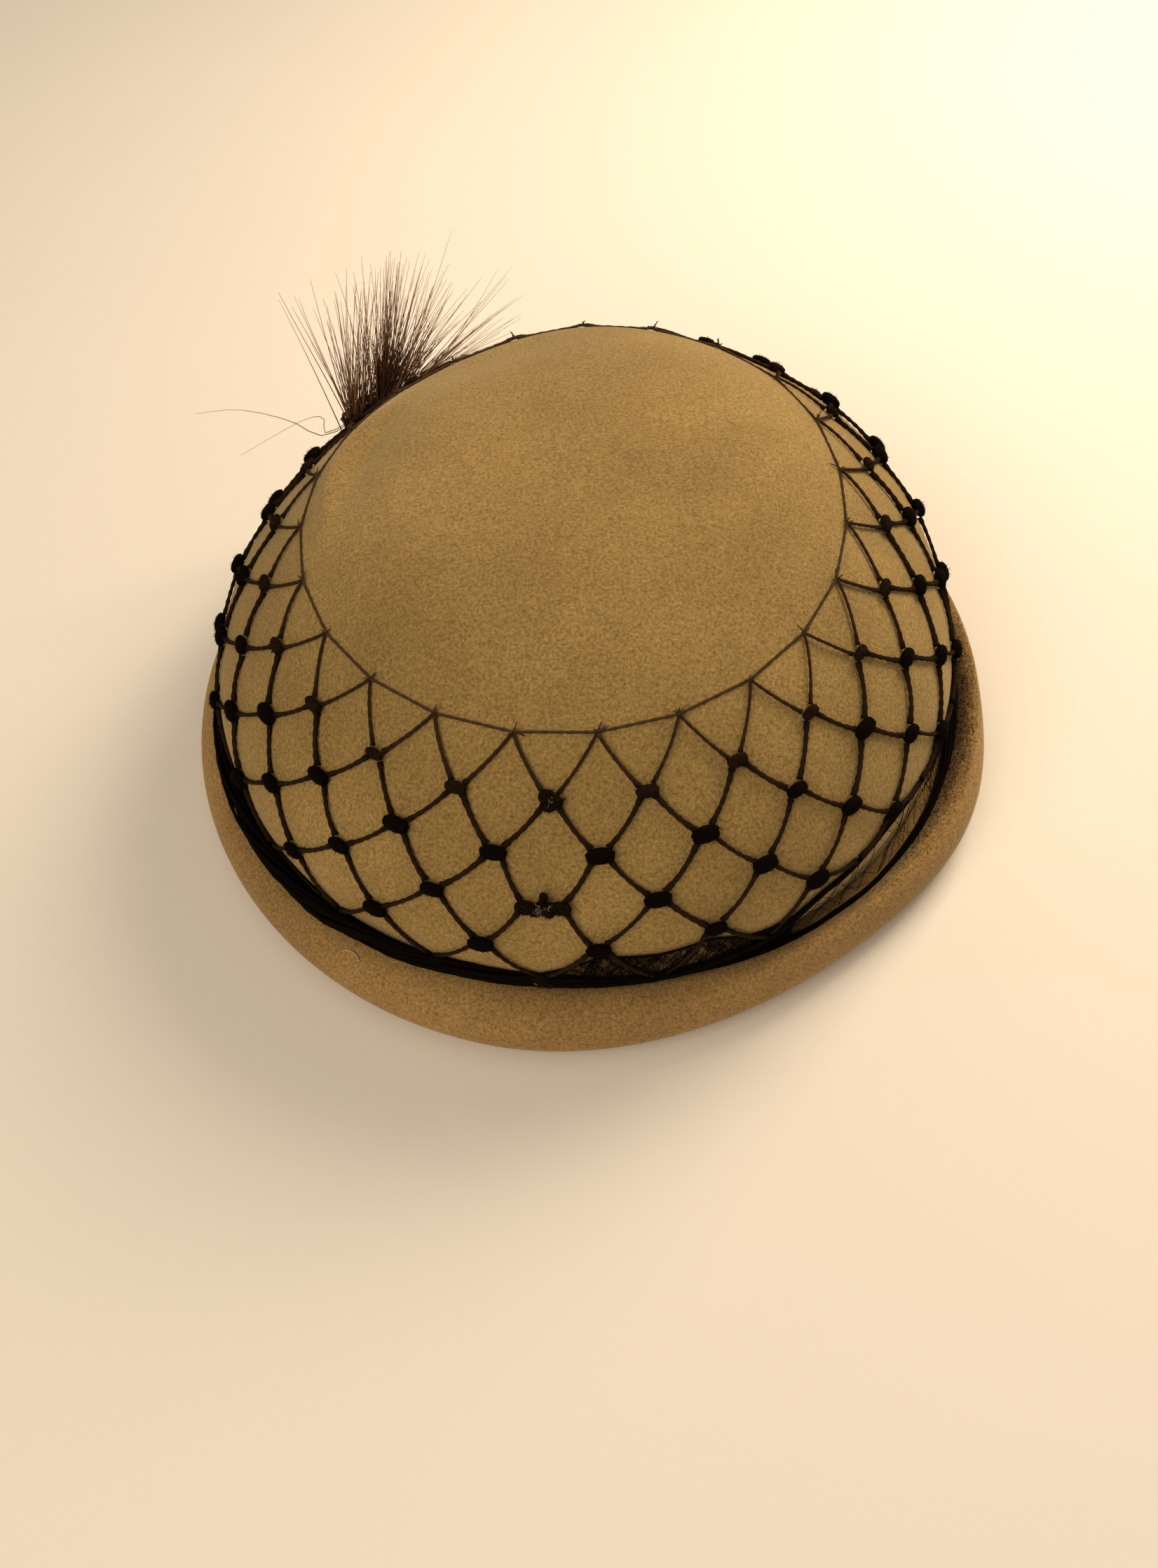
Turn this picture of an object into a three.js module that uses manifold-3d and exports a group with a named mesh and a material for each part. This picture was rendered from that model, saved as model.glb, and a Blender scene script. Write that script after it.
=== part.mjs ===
// Small felt hat: domed crown, rolled brim, knotted veil net, drawstring and plume.
// Millimetres, +Z up. The brim rests on z = 0 and the wearer's front faces -Y.
import * as THREE from 'three';
import { mergeVertices } from 'three/addons/utils/BufferGeometryUtils.js';
import Module from 'manifold-3d';

// Driving dimensions
const brimHalfWidth = 115;
const crownHeight = 93;
const oval = 1.06; // front-to-back depth over side-to-side width
const rollWidth = 11; // how far the rolled brim reaches past the crown
const crownFelt = 2.0;
const brimFelt = 2.6;
const netColumns = 23;
const cordWidth = 1.5;
const cordThickness = 1.1;
const netStandoff = 1.0; // air between the crown and the net's cords
const plumeLength = 50;

// Sizes that follow
const crownRadius = brimHalfWidth - rollWidth;
const columnAngle = (2 * Math.PI) / netColumns;
const degrees = Math.PI / 180;

// How finely the round felt is faceted
const crownSegments = 48;
const crownSteps = 11;
const brimSegments = 52;
const brimSteps = 13;

// One in the middle of an arc round the hat, falling smoothly to nought at its ends
function swell(angle, centre, span) {
  const apart = Math.abs(Math.atan2(Math.sin(angle - centre), Math.cos(angle - centre)));
  return apart < span ? Math.cos((apart / span) * (Math.PI / 2)) ** 2 : 0;
}

// Angle 0 is the back of the hat and grows towards the wearer's right.
function place(angle, radius, height) {
  return new THREE.Vector3(-radius * Math.sin(angle), oval * radius * Math.cos(angle), height);
}

// The crown stands fuller on the wearer's front right. The fullness sets in between two heights.
const fullCentre = 138 * degrees;
const fullSpan = 62 * degrees;
const fullShare = 0.08;
const fullFrom = 0.26;
const fullTo = 0.55;

// At the right of the back the crown's lower wall is drawn out to meet a wider roll of the brim.
const flareCentre = 62 * degrees;
const flareSpan = 67 * degrees;
const flareReach = 7;
const flareFrom = 0.09;
const flareTo = 0.22;

function placeOnCrown(angle, radius, height) {
  const share = height / crownHeight;
  const full = THREE.MathUtils.smoothstep(share, fullFrom, fullTo) * swell(angle, fullCentre, fullSpan);
  const drawn = 1 - THREE.MathUtils.smoothstep(share, flareFrom, flareTo);
  const reach = flareReach * drawn * swell(angle, flareCentre, flareSpan);
  return place(angle, radius * (1 + fullShare * full) + reach, height);
}

function geometryFrom(points, triangles) {
  const geometry = new THREE.BufferGeometry();
  const positions = points.flatMap((point) => [point.x, point.y, point.z]);
  geometry.setAttribute('position', new THREE.Float32BufferAttribute(positions, 3));
  geometry.setIndex(triangles.flat());
  geometry.computeVertexNormals();
  return geometry;
}

// Turns a section, given as [radius, height] pairs for each angle, round the hat's axis.
// A section that does not close on itself starts and ends on the axis.
function sweepRound(sectionAt, segments, closes, placed, start = 0) {
  const points = [];
  const rows = [];
  const poles = new Map();
  for (let step = 0; step < segments; step += 1) {
    const angle = start + (step / segments) * 2 * Math.PI;
    const row = sectionAt(angle).map(([radius, height], order) => {
      if (radius > 0) {
        points.push(placed(angle, radius, height));
        return points.length - 1;
      }
      if (!poles.has(order)) {
        points.push(new THREE.Vector3(0, 0, height));
        poles.set(order, points.length - 1);
      }
      return poles.get(order);
    });
    rows.push(row);
  }
  const triangles = [];
  const count = rows[0].length;
  const spans = closes ? count : count - 1;
  rows.forEach((row, step) => {
    const nextRow = rows[(step + 1) % segments];
    for (let order = 0; order < spans; order += 1) {
      const after = (order + 1) % count;
      const first = [row[order], row[after], nextRow[after]];
      const second = [row[order], nextRow[after], nextRow[order]];
      [first, second].forEach((triangle) => {
        if (new Set(triangle).size === 3) {
          triangles.push(triangle);
        }
      });
    }
  });
  return geometryFrom(points, triangles);
}

// Crown: profile of the outer felt, from the tip down to the head-size line
const crownProfile = [
  // share of the crown radius, share of the crown height
  [0, 1],
  [0.238, 0.989],
  [0.428, 0.953],
  [0.57, 0.892],
  [0.685, 0.808],
  [0.782, 0.705],
  [0.875, 0.6],
  [0.945, 0.497],
  [0.99, 0.385],
  [1, 0.29],
  [0.984, 0.212],
  [0.935, 0.135],
  [0.866, 0.072],
];
const crownCurve = new THREE.SplineCurve(
  crownProfile.map(([radius, height]) => new THREE.Vector2(radius * crownRadius, height * crownHeight)),
);

// Point on the crown's outer profile with its outward normal and its upward tangent
function profileAt(share) {
  const point = crownCurve.getPoint(share);
  const tangent = crownCurve.getTangent(share);
  const normal = new THREE.Vector2(-tangent.y, tangent.x);
  return { point, normal, upward: tangent.negate() };
}

// The same, found by halving for a height given as a share of the crown's
const halvings = 40;
function crownAtHeight(heightShare) {
  let low = 0;
  let high = 1;
  for (let round = 0; round < halvings; round += 1) {
    const middle = (low + high) / 2;
    if (crownCurve.getPoint(middle).y > heightShare * crownHeight) {
      low = middle;
    } else {
      high = middle;
    }
  }
  return profileAt(low);
}

function crownSection() {
  const outside = [];
  const inside = [];
  for (let step = 0; step <= crownSteps; step += 1) {
    const { point, normal } = profileAt(step / crownSteps);
    outside.push([point.x, point.y]);
    inside.push([point.x - normal.x * crownFelt, point.y - normal.y * crownFelt]);
  }
  inside[0] = [0, crownHeight - crownFelt];
  return [...outside, ...inside.reverse()];
}
const crownGeometry = sweepRound(crownSection, crownSegments, false, placeOnCrown);

// Brim: middle line of the felt. It starts against the crown's lower wall, comes up out of the
// crease, goes over the roll, down and under. On the right of the back the roll starts farther out
// and the crease is a deep groove.
const seamGap = 0.45;
const seamHeights = [
  // share of the crown height, and the same where flared
  [0.103, 0.084],
  [0.135, 0.106],
];
const brimLine = [
  // reach past the crown radius, height, reach and height where flared, share of the dip,
  // and how far the ridge stands out and up
  [-1.2, 16.2, 2.8, 10, -0.2, 0, 0],
  [4.6, 15.6, 6.6, 15.2, 0.25, 1.2, 0.2],
  [8.9, 11.9, 9.4, 12.4, 1, 0, 0.2],
  [9.7, 7, 9.7, 7, 1, 0, 0],
  [7.2, 2.8, 7.2, 2.8, 1, 0, 0],
  [2, 1.3, 2, 1.3, 0.6, 0, 0],
  [-5.5, 1.3, -5, 1.3, 0, 0, 0],
];
// Just right of the middle of the back the roll's outside is drawn in a little, and next to that it bulges.
const dipCentre = 22 * degrees;
const dipSpan = 42 * degrees;
const dipDepth = 3.2;
const bulgeCentre = 58 * degrees;
const bulgeSpan = 24 * degrees;
const bulgeReach = 2.1;
// Towards the wearer's right the ridge of the roll stands out, above a wide inner slope.
const ridgeCentre = 85 * degrees;
const ridgeSpan = 60 * degrees;
const landTolerance = 0.5; // felt nearer than this to the table is pressed flat

function brimSection(angle) {
  const flare = swell(angle, flareCentre, flareSpan);
  const seam = seamHeights.map(([share, flaredShare]) => {
    const { point, normal } = crownAtHeight(THREE.MathUtils.lerp(share, flaredShare, flare));
    const away = seamGap + brimFelt / 2;
    return new THREE.Vector2(point.x + normal.x * away + flareReach * flare, point.y + normal.y * away);
  });
  const bulge = bulgeReach * swell(angle, bulgeCentre, bulgeSpan);
  const dip = dipDepth * swell(angle, dipCentre, dipSpan) - bulge;
  const ridge = swell(angle, ridgeCentre, ridgeSpan);
  const roll = brimLine.map(([reach, height, flaredReach, flaredHeight, dipShare, ridgeOut, ridgeUp]) => (
    new THREE.Vector2(
      crownRadius + THREE.MathUtils.lerp(reach, flaredReach, flare) - dip * dipShare + ridge * ridgeOut,
      THREE.MathUtils.lerp(height, flaredHeight, flare) + ridge * ridgeUp,
    )
  ));
  const curve = new THREE.SplineCurve([...seam, ...roll]);
  const outside = [];
  const inside = [];
  for (let step = 0; step <= brimSteps; step += 1) {
    const point = curve.getPoint(step / brimSteps);
    const across = curve.getTangent(step / brimSteps).multiplyScalar(brimFelt / 2);
    const low = point.y + across.x;
    outside.push([point.x - across.y, low < landTolerance ? 0 : low]);
    inside.push([point.x + across.y, point.y - across.x]);
  }
  return [...outside, ...inside.reverse()];
}
const brimGeometry = sweepRound(brimSection, brimSegments, true, place);

// Veil net: rows of knots, each row half a column round from the row above
const netRows = [
  // height as a share of the crown's, turn in degrees, knot size
  { height: 0.792, turn: 1.4, knot: 0 },
  { height: 0.7, turn: 0.6, knot: 0.8 },
  { height: 0.602, turn: 0, knot: 1 },
  { height: 0.5, turn: -0.6, knot: 1 },
  { height: 0.388, turn: -1.3, knot: 1 },
];
const knotHalfWidth = 3.4;
const knotHalfHeight = 2.2;
const knotRise = 1.1;
const knotCut = 0.72 * cordWidth; // corner of a knot that a cord takes up
const seamTurn = -9.4; // degrees to the column where the net's two ends are tied together
const seamColumn = 0;
const seamWiden = 1.5; // its tied knots are wider than the rest
const hemTop = [0.285, 0.332]; // heights as shares of the crown's, and the same where flared
const hemBottom = [0.218, 0.3];
const hemBulge = [2, 0.4];

const netOuter = [];
const netInner = [];
const netFaces = [];

// Adds a net corner at an angle and height, shifted along the row and up the crown
function netCorner(angle, heightShare, along, up, rise) {
  const { point, normal, upward } = crownAtHeight(heightShare);
  const turned = angle + along / point.x;
  const ends = [netStandoff, netStandoff + cordThickness + rise].map((offset) => placeOnCrown(
    turned,
    point.x + upward.x * up + normal.x * offset,
    point.y + upward.y * up + normal.y * offset,
  ));
  netInner.push(ends[0]);
  netOuter.push(ends[1]);
  return netOuter.length - 1;
}

function knotAngle(row, column) {
  const shift = row % 2 === 0 ? -0.5 : 0;
  const { turn } = netRows[Math.min(row, netRows.length - 1)];
  return (seamTurn + turn) * degrees + (column + shift) * columnAngle;
}

// A knot returns the two corners of each cord that leaves it, in the order they run round the knot.
function addKnot(row, column) {
  const { height, knot } = netRows[row];
  const angle = knotAngle(row, column);
  const widen = column === seamColumn && row % 2 === 1 ? seamWiden : 1;
  const wide = knotHalfWidth * knot * widen;
  const tall = knotHalfHeight * knot;
  const outline = [
    [wide, knotCut - tall],
    [wide, tall - knotCut],
    [wide - knotCut, tall],
    [knotCut - wide, tall],
    [-wide, tall - knotCut],
    [-wide, knotCut - tall],
    [knotCut - wide, -tall],
    [wide - knotCut, -tall],
  ];
  const corners = outline.map(([along, up]) => netCorner(angle, height, along, up, 0));
  const middle = netCorner(angle, height, 0, 0, knotRise);
  corners.forEach((corner, order) => netFaces.push([corner, corners[(order + 1) % 8], middle]));
  return {
    upRight: [corners[1], corners[2]],
    upLeft: [corners[3], corners[4]],
    downLeft: [corners[5], corners[6]],
    downRight: [corners[7], corners[0]],
  };
}

// The net's top points stop just short of the drawstring.
const tipOutline = [
  // along the row and up the crown, in cord widths
  [1.05, -0.13],
  [0, 0.33],
  [-1.05, -0.13],
  [-0.28, -0.83],
  [0.28, -0.83],
];
function addTip(column) {
  const angle = knotAngle(0, column);
  const corners = tipOutline.map(([along, up]) => (
    netCorner(angle, netRows[0].height, along * cordWidth, up * cordWidth, 0)
  ));
  netFaces.push([corners[0], corners[1], corners[2]]);
  netFaces.push([corners[0], corners[2], corners[3]]);
  netFaces.push([corners[0], corners[3], corners[4]]);
  return { downLeft: [corners[2], corners[3]], downRight: [corners[4], corners[0]] };
}

function addCord(upper, lower) {
  netFaces.push([upper[1], upper[0], lower[1]]);
  netFaces.push([upper[1], lower[1], lower[0]]);
}

const lastRow = netRows.length;
const columns = [...Array(netColumns).keys()];
const knots = netRows.map((row, order) => columns.map((column) => (
  order === 0 ? addTip(column) : addKnot(order, column)
)));

// Gathered hem: the lower edge of the net, bunched into a thick band in the crease round the crown's
// base. On the right of the back it is drawn up into a thinner and higher one.
const hemCorners = columns.map((column) => {
  const angle = knotAngle(lastRow, column);
  const spread = [cordWidth, 0, -cordWidth];
  const flare = swell(angle, flareCentre, flareSpan);
  const [top, bottom, bulge] = [hemTop, hemBottom, hemBulge].map(([plain, flared]) => (
    THREE.MathUtils.lerp(plain, flared, flare)
  ));
  return {
    top: spread.map((along) => netCorner(angle, top, along, 0, bulge)),
    bottom: spread.map((along) => netCorner(angle, bottom, along, 0, bulge)),
  };
});
hemCorners.forEach((hem, column) => {
  const before = hemCorners[(column + netColumns - 1) % netColumns];
  const top = [...hem.top, before.top[0]];
  const bottom = [...hem.bottom, before.bottom[0]];
  for (let order = 0; order < hem.top.length; order += 1) {
    netFaces.push([top[order], top[order + 1], bottom[order + 1]]);
    netFaces.push([top[order], bottom[order + 1], bottom[order]]);
  }
});
knots.push(hemCorners.map(({ top }) => ({ upRight: [top[0], top[1]], upLeft: [top[1], top[2]] })));

knots.slice(0, lastRow).forEach((row, order) => {
  row.forEach((knot, column) => {
    const shift = order % 2 === 0 ? 0 : 1;
    const right = knots[order + 1][(column + shift) % netColumns];
    const left = knots[order + 1][(column + shift + netColumns - 1) % netColumns];
    addCord(knot.downRight, right.upLeft);
    addCord(knot.downLeft, left.upRight);
  });
});

// Gives the net its thickness: the outer faces, the same faces turned over inside, and walls between
function thicken(outer, inner, faces) {
  const count = outer.length;
  const triangles = [];
  const edges = new Set();
  faces.forEach(([first, second, third]) => {
    triangles.push([first, second, third]);
    triangles.push([count + first, count + third, count + second]);
    [[first, second], [second, third], [third, first]].forEach(([from, to]) => edges.add(`${from} ${to}`));
  });
  edges.forEach((edge) => {
    const [from, to] = edge.split(' ').map(Number);
    if (!edges.has(`${to} ${from}`)) {
      triangles.push([to, from, count + from]);
      triangles.push([to, count + from, count + to]);
    }
  });
  return geometryFrom([...outer, ...inner], triangles);
}
const netGeometry = thicken(netOuter, netInner, netFaces);

// Drawstring: a thread pulled straight from one top point of the net to the next
const stringRadius = 0.6;
const stringSides = 6;
const stringLift = netStandoff + stringRadius;
const stringSeat = crownAtHeight(0.808);
function stringSection() {
  return [...Array(stringSides).keys()].map((side) => {
    const angle = -(side / stringSides) * 2 * Math.PI;
    return [
      stringSeat.point.x + stringSeat.normal.x * stringLift + stringRadius * Math.cos(angle),
      stringSeat.point.y + stringSeat.normal.y * stringLift + stringRadius * Math.sin(angle),
    ];
  });
}
const stringGeometry = sweepRound(stringSection, netColumns, true, placeOnCrown, knotAngle(0, 0));

// Plume: a bound head on the wearer's front left, with locks of hair fanning up along it
const plumeAngle = -147 * degrees;
const plumeSeat = crownAtHeight(0.46);
const plumeOffset = 5.8; // middle of the head from the crown's felt
const headHalfWidth = 12.5;
const headHalfDepth = 3.2;
const headHalfHeight = 5;
const headSides = 10;
const headRings = 6;
const lockCount = 15;
const lockRadius = 2.3;
const lockTipRadius = 0.45;
const lockSides = 5;
const lockSteps = 6;
const rootShare = 0.76; // share of the head's width that the locks grow from
const leanOut = 6 * degrees;
const fanFirst = 14 * degrees; // the fan's lock nearest the back, then the one nearest the front
const fanLast = -85 * degrees;
const tiltFirst = 0.06; // how far each end of the fan tilts away from the crown
const tiltLast = -0.2;
const tiltWave = 0.1; // every lock tilts a little more or less than its neighbour
const lengthWave = 0.1; // and is a little shorter or longer

const plumeRoot = placeOnCrown(
  plumeAngle,
  plumeSeat.point.x + plumeSeat.normal.x * plumeOffset,
  plumeSeat.point.y + plumeSeat.normal.y * plumeOffset,
);
const outward = place(plumeAngle, 1, 0).normalize();
const sideways = new THREE.Vector3(0, 0, 1).cross(outward);
const plumeAxis = new THREE.Vector3(0, 0, Math.cos(leanOut)).addScaledVector(outward, Math.sin(leanOut));

// A closed geometry with its shared vertices merged
function merged(geometry) {
  geometry.deleteAttribute('normal');
  geometry.deleteAttribute('uv');
  return mergeVertices(geometry);
}

function plumeHead() {
  const head = merged(new THREE.SphereGeometry(1, headSides, headRings));
  const basis = new THREE.Matrix4().makeBasis(
    sideways.clone().multiplyScalar(headHalfWidth),
    plumeAxis.clone().multiplyScalar(headHalfHeight),
    outward.clone().multiplyScalar(headHalfDepth),
  );
  return head.applyMatrix4(basis.setPosition(plumeRoot));
}

// A tapered cylinder bent along its curve
function plumeLock(curve) {
  const lock = merged(new THREE.CylinderGeometry(lockTipRadius, lockRadius, 1, lockSides, lockSteps));
  const positions = lock.getAttribute('position');
  for (let vertex = 0; vertex < positions.count; vertex += 1) {
    const share = positions.getY(vertex) + 0.5;
    const tangent = curve.getTangent(share);
    const across = tangent.clone().cross(outward).normalize();
    const depth = across.clone().cross(tangent);
    const bent = curve.getPoint(share);
    bent.addScaledVector(across, positions.getX(vertex));
    bent.addScaledVector(depth, positions.getZ(vertex));
    positions.setXYZ(vertex, bent.x, bent.y, bent.z);
  }
  return lock;
}

function lockCurve(lock) {
  const share = lock / (lockCount - 1);
  const fan = THREE.MathUtils.lerp(fanFirst, fanLast, share);
  const tilt = THREE.MathUtils.lerp(tiltFirst, tiltLast, share) + tiltWave * Math.sin(lock * 2.4);
  const length = plumeLength * (1 - lengthWave + lengthWave * Math.cos(lock * 2.1));
  const direction = plumeAxis.clone().multiplyScalar(Math.cos(fan));
  direction.addScaledVector(sideways, Math.sin(fan)).addScaledVector(outward, tilt).normalize();
  const start = plumeRoot.clone().addScaledVector(sideways, (1 - share * 2) * headHalfWidth * rootShare);
  const bend = start.clone().addScaledVector(plumeAxis, length * 0.25);
  bend.addScaledVector(direction, length * 0.15);
  const tip = start.clone().addScaledVector(direction, length);
  return new THREE.QuadraticBezierCurve3(start, bend, tip);
}

const wasm = await Module();
wasm.setup();
function solidFrom(geometry) {
  const mesh = new wasm.Mesh({
    numProp: 3,
    vertProperties: Float32Array.from(geometry.getAttribute('position').array),
    triVerts: Uint32Array.from(geometry.getIndex().array),
  });
  return new wasm.Manifold(mesh);
}

let plumeSolid = solidFrom(plumeHead());
for (let lock = 0; lock < lockCount; lock += 1) {
  plumeSolid = plumeSolid.add(solidFrom(plumeLock(lockCurve(lock))));
}
const plumeMesh = plumeSolid.getMesh();
const plumeGeometry = new THREE.BufferGeometry();
plumeGeometry.setAttribute('position', new THREE.Float32BufferAttribute(plumeMesh.vertProperties, 3));
plumeGeometry.setIndex([...plumeMesh.triVerts]);
plumeGeometry.computeVertexNormals();

// Materials and the assembly
function cloth(color, roughness) {
  return new THREE.MeshStandardMaterial({ color, roughness, metalness: 0 });
}

const group = new THREE.Group();
group.name = 'felt_hat';
const pieces = [
  ['crown', crownGeometry, cloth('#8f7140', 0.95)],
  ['brim', brimGeometry, cloth('#866839', 0.95)],
  ['veil_net', netGeometry, cloth('#1c1410', 0.85)],
  ['drawstring', stringGeometry, cloth('#2b1d14', 0.85)],
  ['plume', plumeGeometry, cloth('#3a281c', 0.7)],
];
pieces.forEach(([name, geometry, material]) => {
  const mesh = new THREE.Mesh(geometry, material);
  mesh.name = name;
  group.add(mesh);
});

export default group;
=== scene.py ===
# Small felt hat with a knotted veil net and a hair plume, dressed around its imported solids.
import math

import bpy
import numpy as np
from mathutils import Matrix, Vector


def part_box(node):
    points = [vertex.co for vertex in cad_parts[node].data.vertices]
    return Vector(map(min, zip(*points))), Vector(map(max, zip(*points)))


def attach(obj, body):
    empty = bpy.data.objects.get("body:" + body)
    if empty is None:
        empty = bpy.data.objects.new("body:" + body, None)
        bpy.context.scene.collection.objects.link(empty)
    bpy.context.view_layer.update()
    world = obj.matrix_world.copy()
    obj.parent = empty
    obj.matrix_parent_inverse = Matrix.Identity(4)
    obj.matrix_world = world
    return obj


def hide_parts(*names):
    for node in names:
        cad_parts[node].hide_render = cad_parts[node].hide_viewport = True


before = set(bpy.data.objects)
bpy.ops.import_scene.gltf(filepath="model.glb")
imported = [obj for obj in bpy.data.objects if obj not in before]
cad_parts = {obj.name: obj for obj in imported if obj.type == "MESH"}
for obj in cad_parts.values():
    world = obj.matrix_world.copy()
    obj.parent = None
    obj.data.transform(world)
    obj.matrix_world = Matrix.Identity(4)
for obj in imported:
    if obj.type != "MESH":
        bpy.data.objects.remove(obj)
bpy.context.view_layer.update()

# Shapes are worked out in millimetres and become metres when a mesh is made.
MM = 0.001
DEGREE = math.pi / 180
FULL_TURN = 2 * math.pi
UP = np.array([0.0, 0.0, 1.0])

# Camera: where the net's top ring lies in the hat and in the view, and how the view is turned
IMAGE_HEIGHT = 2237
FOCAL_PIXELS = 2000
SENSOR_WIDTH = 36
VIEW_ELEVATION = 52.34 * DEGREE
VIEW_TURN = 0.44 * DEGREE
VIEW_ROLL = -5.89 * DEGREE
RING_CENTRE = (0, 0, 75.65)
RING_IN_VIEW = (-2.40, 71.65, -368.5)
CLIP_START = 10

# Sizes shared with the solids
CROWN_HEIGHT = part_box("crown")[1].z / MM
BRIM_HALF_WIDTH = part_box("brim")[1].x / MM
OVAL = 1.06
ROLL_WIDTH = 11
CROWN_FELT = 2.0
BRIM_FELT = 2.6
CROWN_RADIUS = BRIM_HALF_WIDTH - ROLL_WIDTH
NET_COLUMNS = 23
NET_STANDOFF = 0.15
COLUMN_ANGLE = FULL_TURN / NET_COLUMNS

CROWN_PROFILE = [
    # share of the crown radius, share of the crown height
    (0, 1),
    (0.238, 0.989),
    (0.428, 0.953),
    (0.57, 0.892),
    (0.685, 0.808),
    (0.782, 0.705),
    (0.875, 0.6),
    (0.945, 0.497),
    (0.99, 0.385),
    (1, 0.29),
    (0.984, 0.212),
    (0.935, 0.135),
    (0.866, 0.072),
]
PROFILE_SAMPLES = 2001

# Fuller run of the crown, and the run where its lower wall is drawn out to a wider roll
FULL_CENTRE, FULL_SPAN, FULL_SHARE = 138 * DEGREE, 62 * DEGREE, 0.08
FULL_FROM, FULL_TO = 0.26, 0.55
FLARE_CENTRE, FLARE_SPAN, FLARE_REACH = 62 * DEGREE, 67 * DEGREE, 7
FLARE_FROM, FLARE_TO = 0.09, 0.22


def smoothstep(value, low, high):
    share = np.clip((value - low) / (high - low), 0, 1)
    return share * share * (3 - 2 * share)


def swell(angle, centre, span):
    """One in the middle of an arc round the hat, falling smoothly to nought at its ends."""
    apart = np.abs(np.arctan2(np.sin(angle - centre), np.cos(angle - centre)))
    return np.where(apart < span, np.cos(np.minimum(apart / span, 1) * math.pi / 2) ** 2, 0)


def unit(vectors):
    return vectors / np.linalg.norm(vectors, axis=-1, keepdims=True)


def spline(points, shares):
    """Points and unit tangents of a Catmull-Rom curve, at shares of its run."""
    points = np.asarray(points, float)
    last = len(points) - 1
    position = np.asarray(shares, float) * last
    start = np.clip(position.astype(int), 0, last - 1)
    step = (position - start)[..., None]
    before, here = points[np.maximum(start - 1, 0)], points[start]
    after, beyond = points[start + 1], points[np.minimum(start + 2, last)]
    leave, arrive = (after - before) / 2, (beyond - here) / 2
    cubic = 2 * here - 2 * after + leave + arrive
    square = 3 * after - 3 * here - 2 * leave - arrive
    value = ((cubic * step + square) * step + leave) * step + here
    slope = (3 * cubic * step + 2 * square) * step + leave
    return value, unit(slope)


def place(angle, radius, height):
    """Angle 0 is the back of the hat and grows towards the wearer's right."""
    x = -radius * np.sin(angle)
    y = OVAL * radius * np.cos(angle)
    return np.stack(np.broadcast_arrays(x, y, height), -1)


def place_on_crown(angle, radius, height):
    share = height / CROWN_HEIGHT
    full = smoothstep(share, FULL_FROM, FULL_TO) * swell(angle, FULL_CENTRE, FULL_SPAN)
    drawn = 1 - smoothstep(share, FLARE_FROM, FLARE_TO)
    reach = FLARE_REACH * drawn * swell(angle, FLARE_CENTRE, FLARE_SPAN)
    return place(angle, radius * (1 + FULL_SHARE * full) + reach, height)


def profile_at(shares):
    """Radius and height of the crown's outer felt with the outward normal, at shares of its run."""
    scale = np.array([CROWN_RADIUS, CROWN_HEIGHT])
    point, tangent = spline(np.array(CROWN_PROFILE) * scale, shares)
    return point, np.stack([-tangent[..., 1], tangent[..., 0]], -1)


PROFILE_RUN = np.linspace(0, 1, PROFILE_SAMPLES)
PROFILE_HEIGHTS = profile_at(PROFILE_RUN)[0][:, 1] / CROWN_HEIGHT


def run_at(height_share):
    """Share of the profile's run at a share of the crown's height."""
    return np.interp(-np.asarray(height_share, float), -PROFILE_HEIGHTS, PROFILE_RUN)


# Soft ridges and dents that handling has left in the tip
TIP_FORMS = [
    # angle, half span round the hat, height share, half span in height, lift in millimetres
    (-110 * DEGREE, 34 * DEGREE, 0.862, 0.018, 2.6),
    (-112 * DEGREE, 40 * DEGREE, 0.905, 0.03, -2.0),
    (-165 * DEGREE, 30 * DEGREE, 0.885, 0.055, -2.0),
    (176 * DEGREE, 44 * DEGREE, 0.80, 0.08, 2.2),
]

# Slow unevenness of hand-blocked felt: waves that cross, every one longer than the one before it
WAVE_DIRECTIONS = ((1, 0.3, 0.5), (-0.4, 1, 0.7), (0.6, -0.8, 1), (0.9, 0.9, -0.3))
WAVE_STRETCH = 0.23
WAVE_SHIFT = 1.7
CROWN_WAVE_LENGTH, CROWN_WAVE_LIFT = 60, 0.3
CROWN_WAVE_FROM, CROWN_WAVE_TO = 0.08, 0.3
BRIM_WAVE_LENGTH, BRIM_WAVE_LIFT = 75, 0.35
BRIM_WAVE_FROM, BRIM_WAVE_TO = 2, 9


def soft_waves(points, length):
    """Height of the waves, between about -1 and 1."""
    total = np.zeros(points.shape[:-1])
    for order, direction in enumerate(WAVE_DIRECTIONS):
        phase = points @ unit(np.array(direction)) * FULL_TURN / (length * (1 + WAVE_STRETCH * order))
        total += np.sin(phase + WAVE_SHIFT * order)
    return total / len(WAVE_DIRECTIONS)


def felt_point(angle, run, offset):
    """Point over the crown's felt, at a share of the profile's run and an offset along its normal."""
    point, normal = profile_at(run)
    share = point[..., 1] / CROWN_HEIGHT
    smooth = place_on_crown(angle, point[..., 0], point[..., 1])
    wave = CROWN_WAVE_LIFT * soft_waves(smooth, CROWN_WAVE_LENGTH)
    lift = offset + wave * smoothstep(share, CROWN_WAVE_FROM, CROWN_WAVE_TO)
    for centre, span, level, spread, rise in TIP_FORMS:
        lift = lift + rise * swell(angle, centre, span) * np.exp(-(((share - level) / spread) ** 2))
    return place_on_crown(angle, point[..., 0] + normal[..., 0] * lift, point[..., 1] + normal[..., 1] * lift)


def on_crown(angle, height_share, offset):
    """Point over the crown's felt, at a share of the crown's height and an offset along its normal."""
    return felt_point(angle, run_at(height_share), offset)


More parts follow.
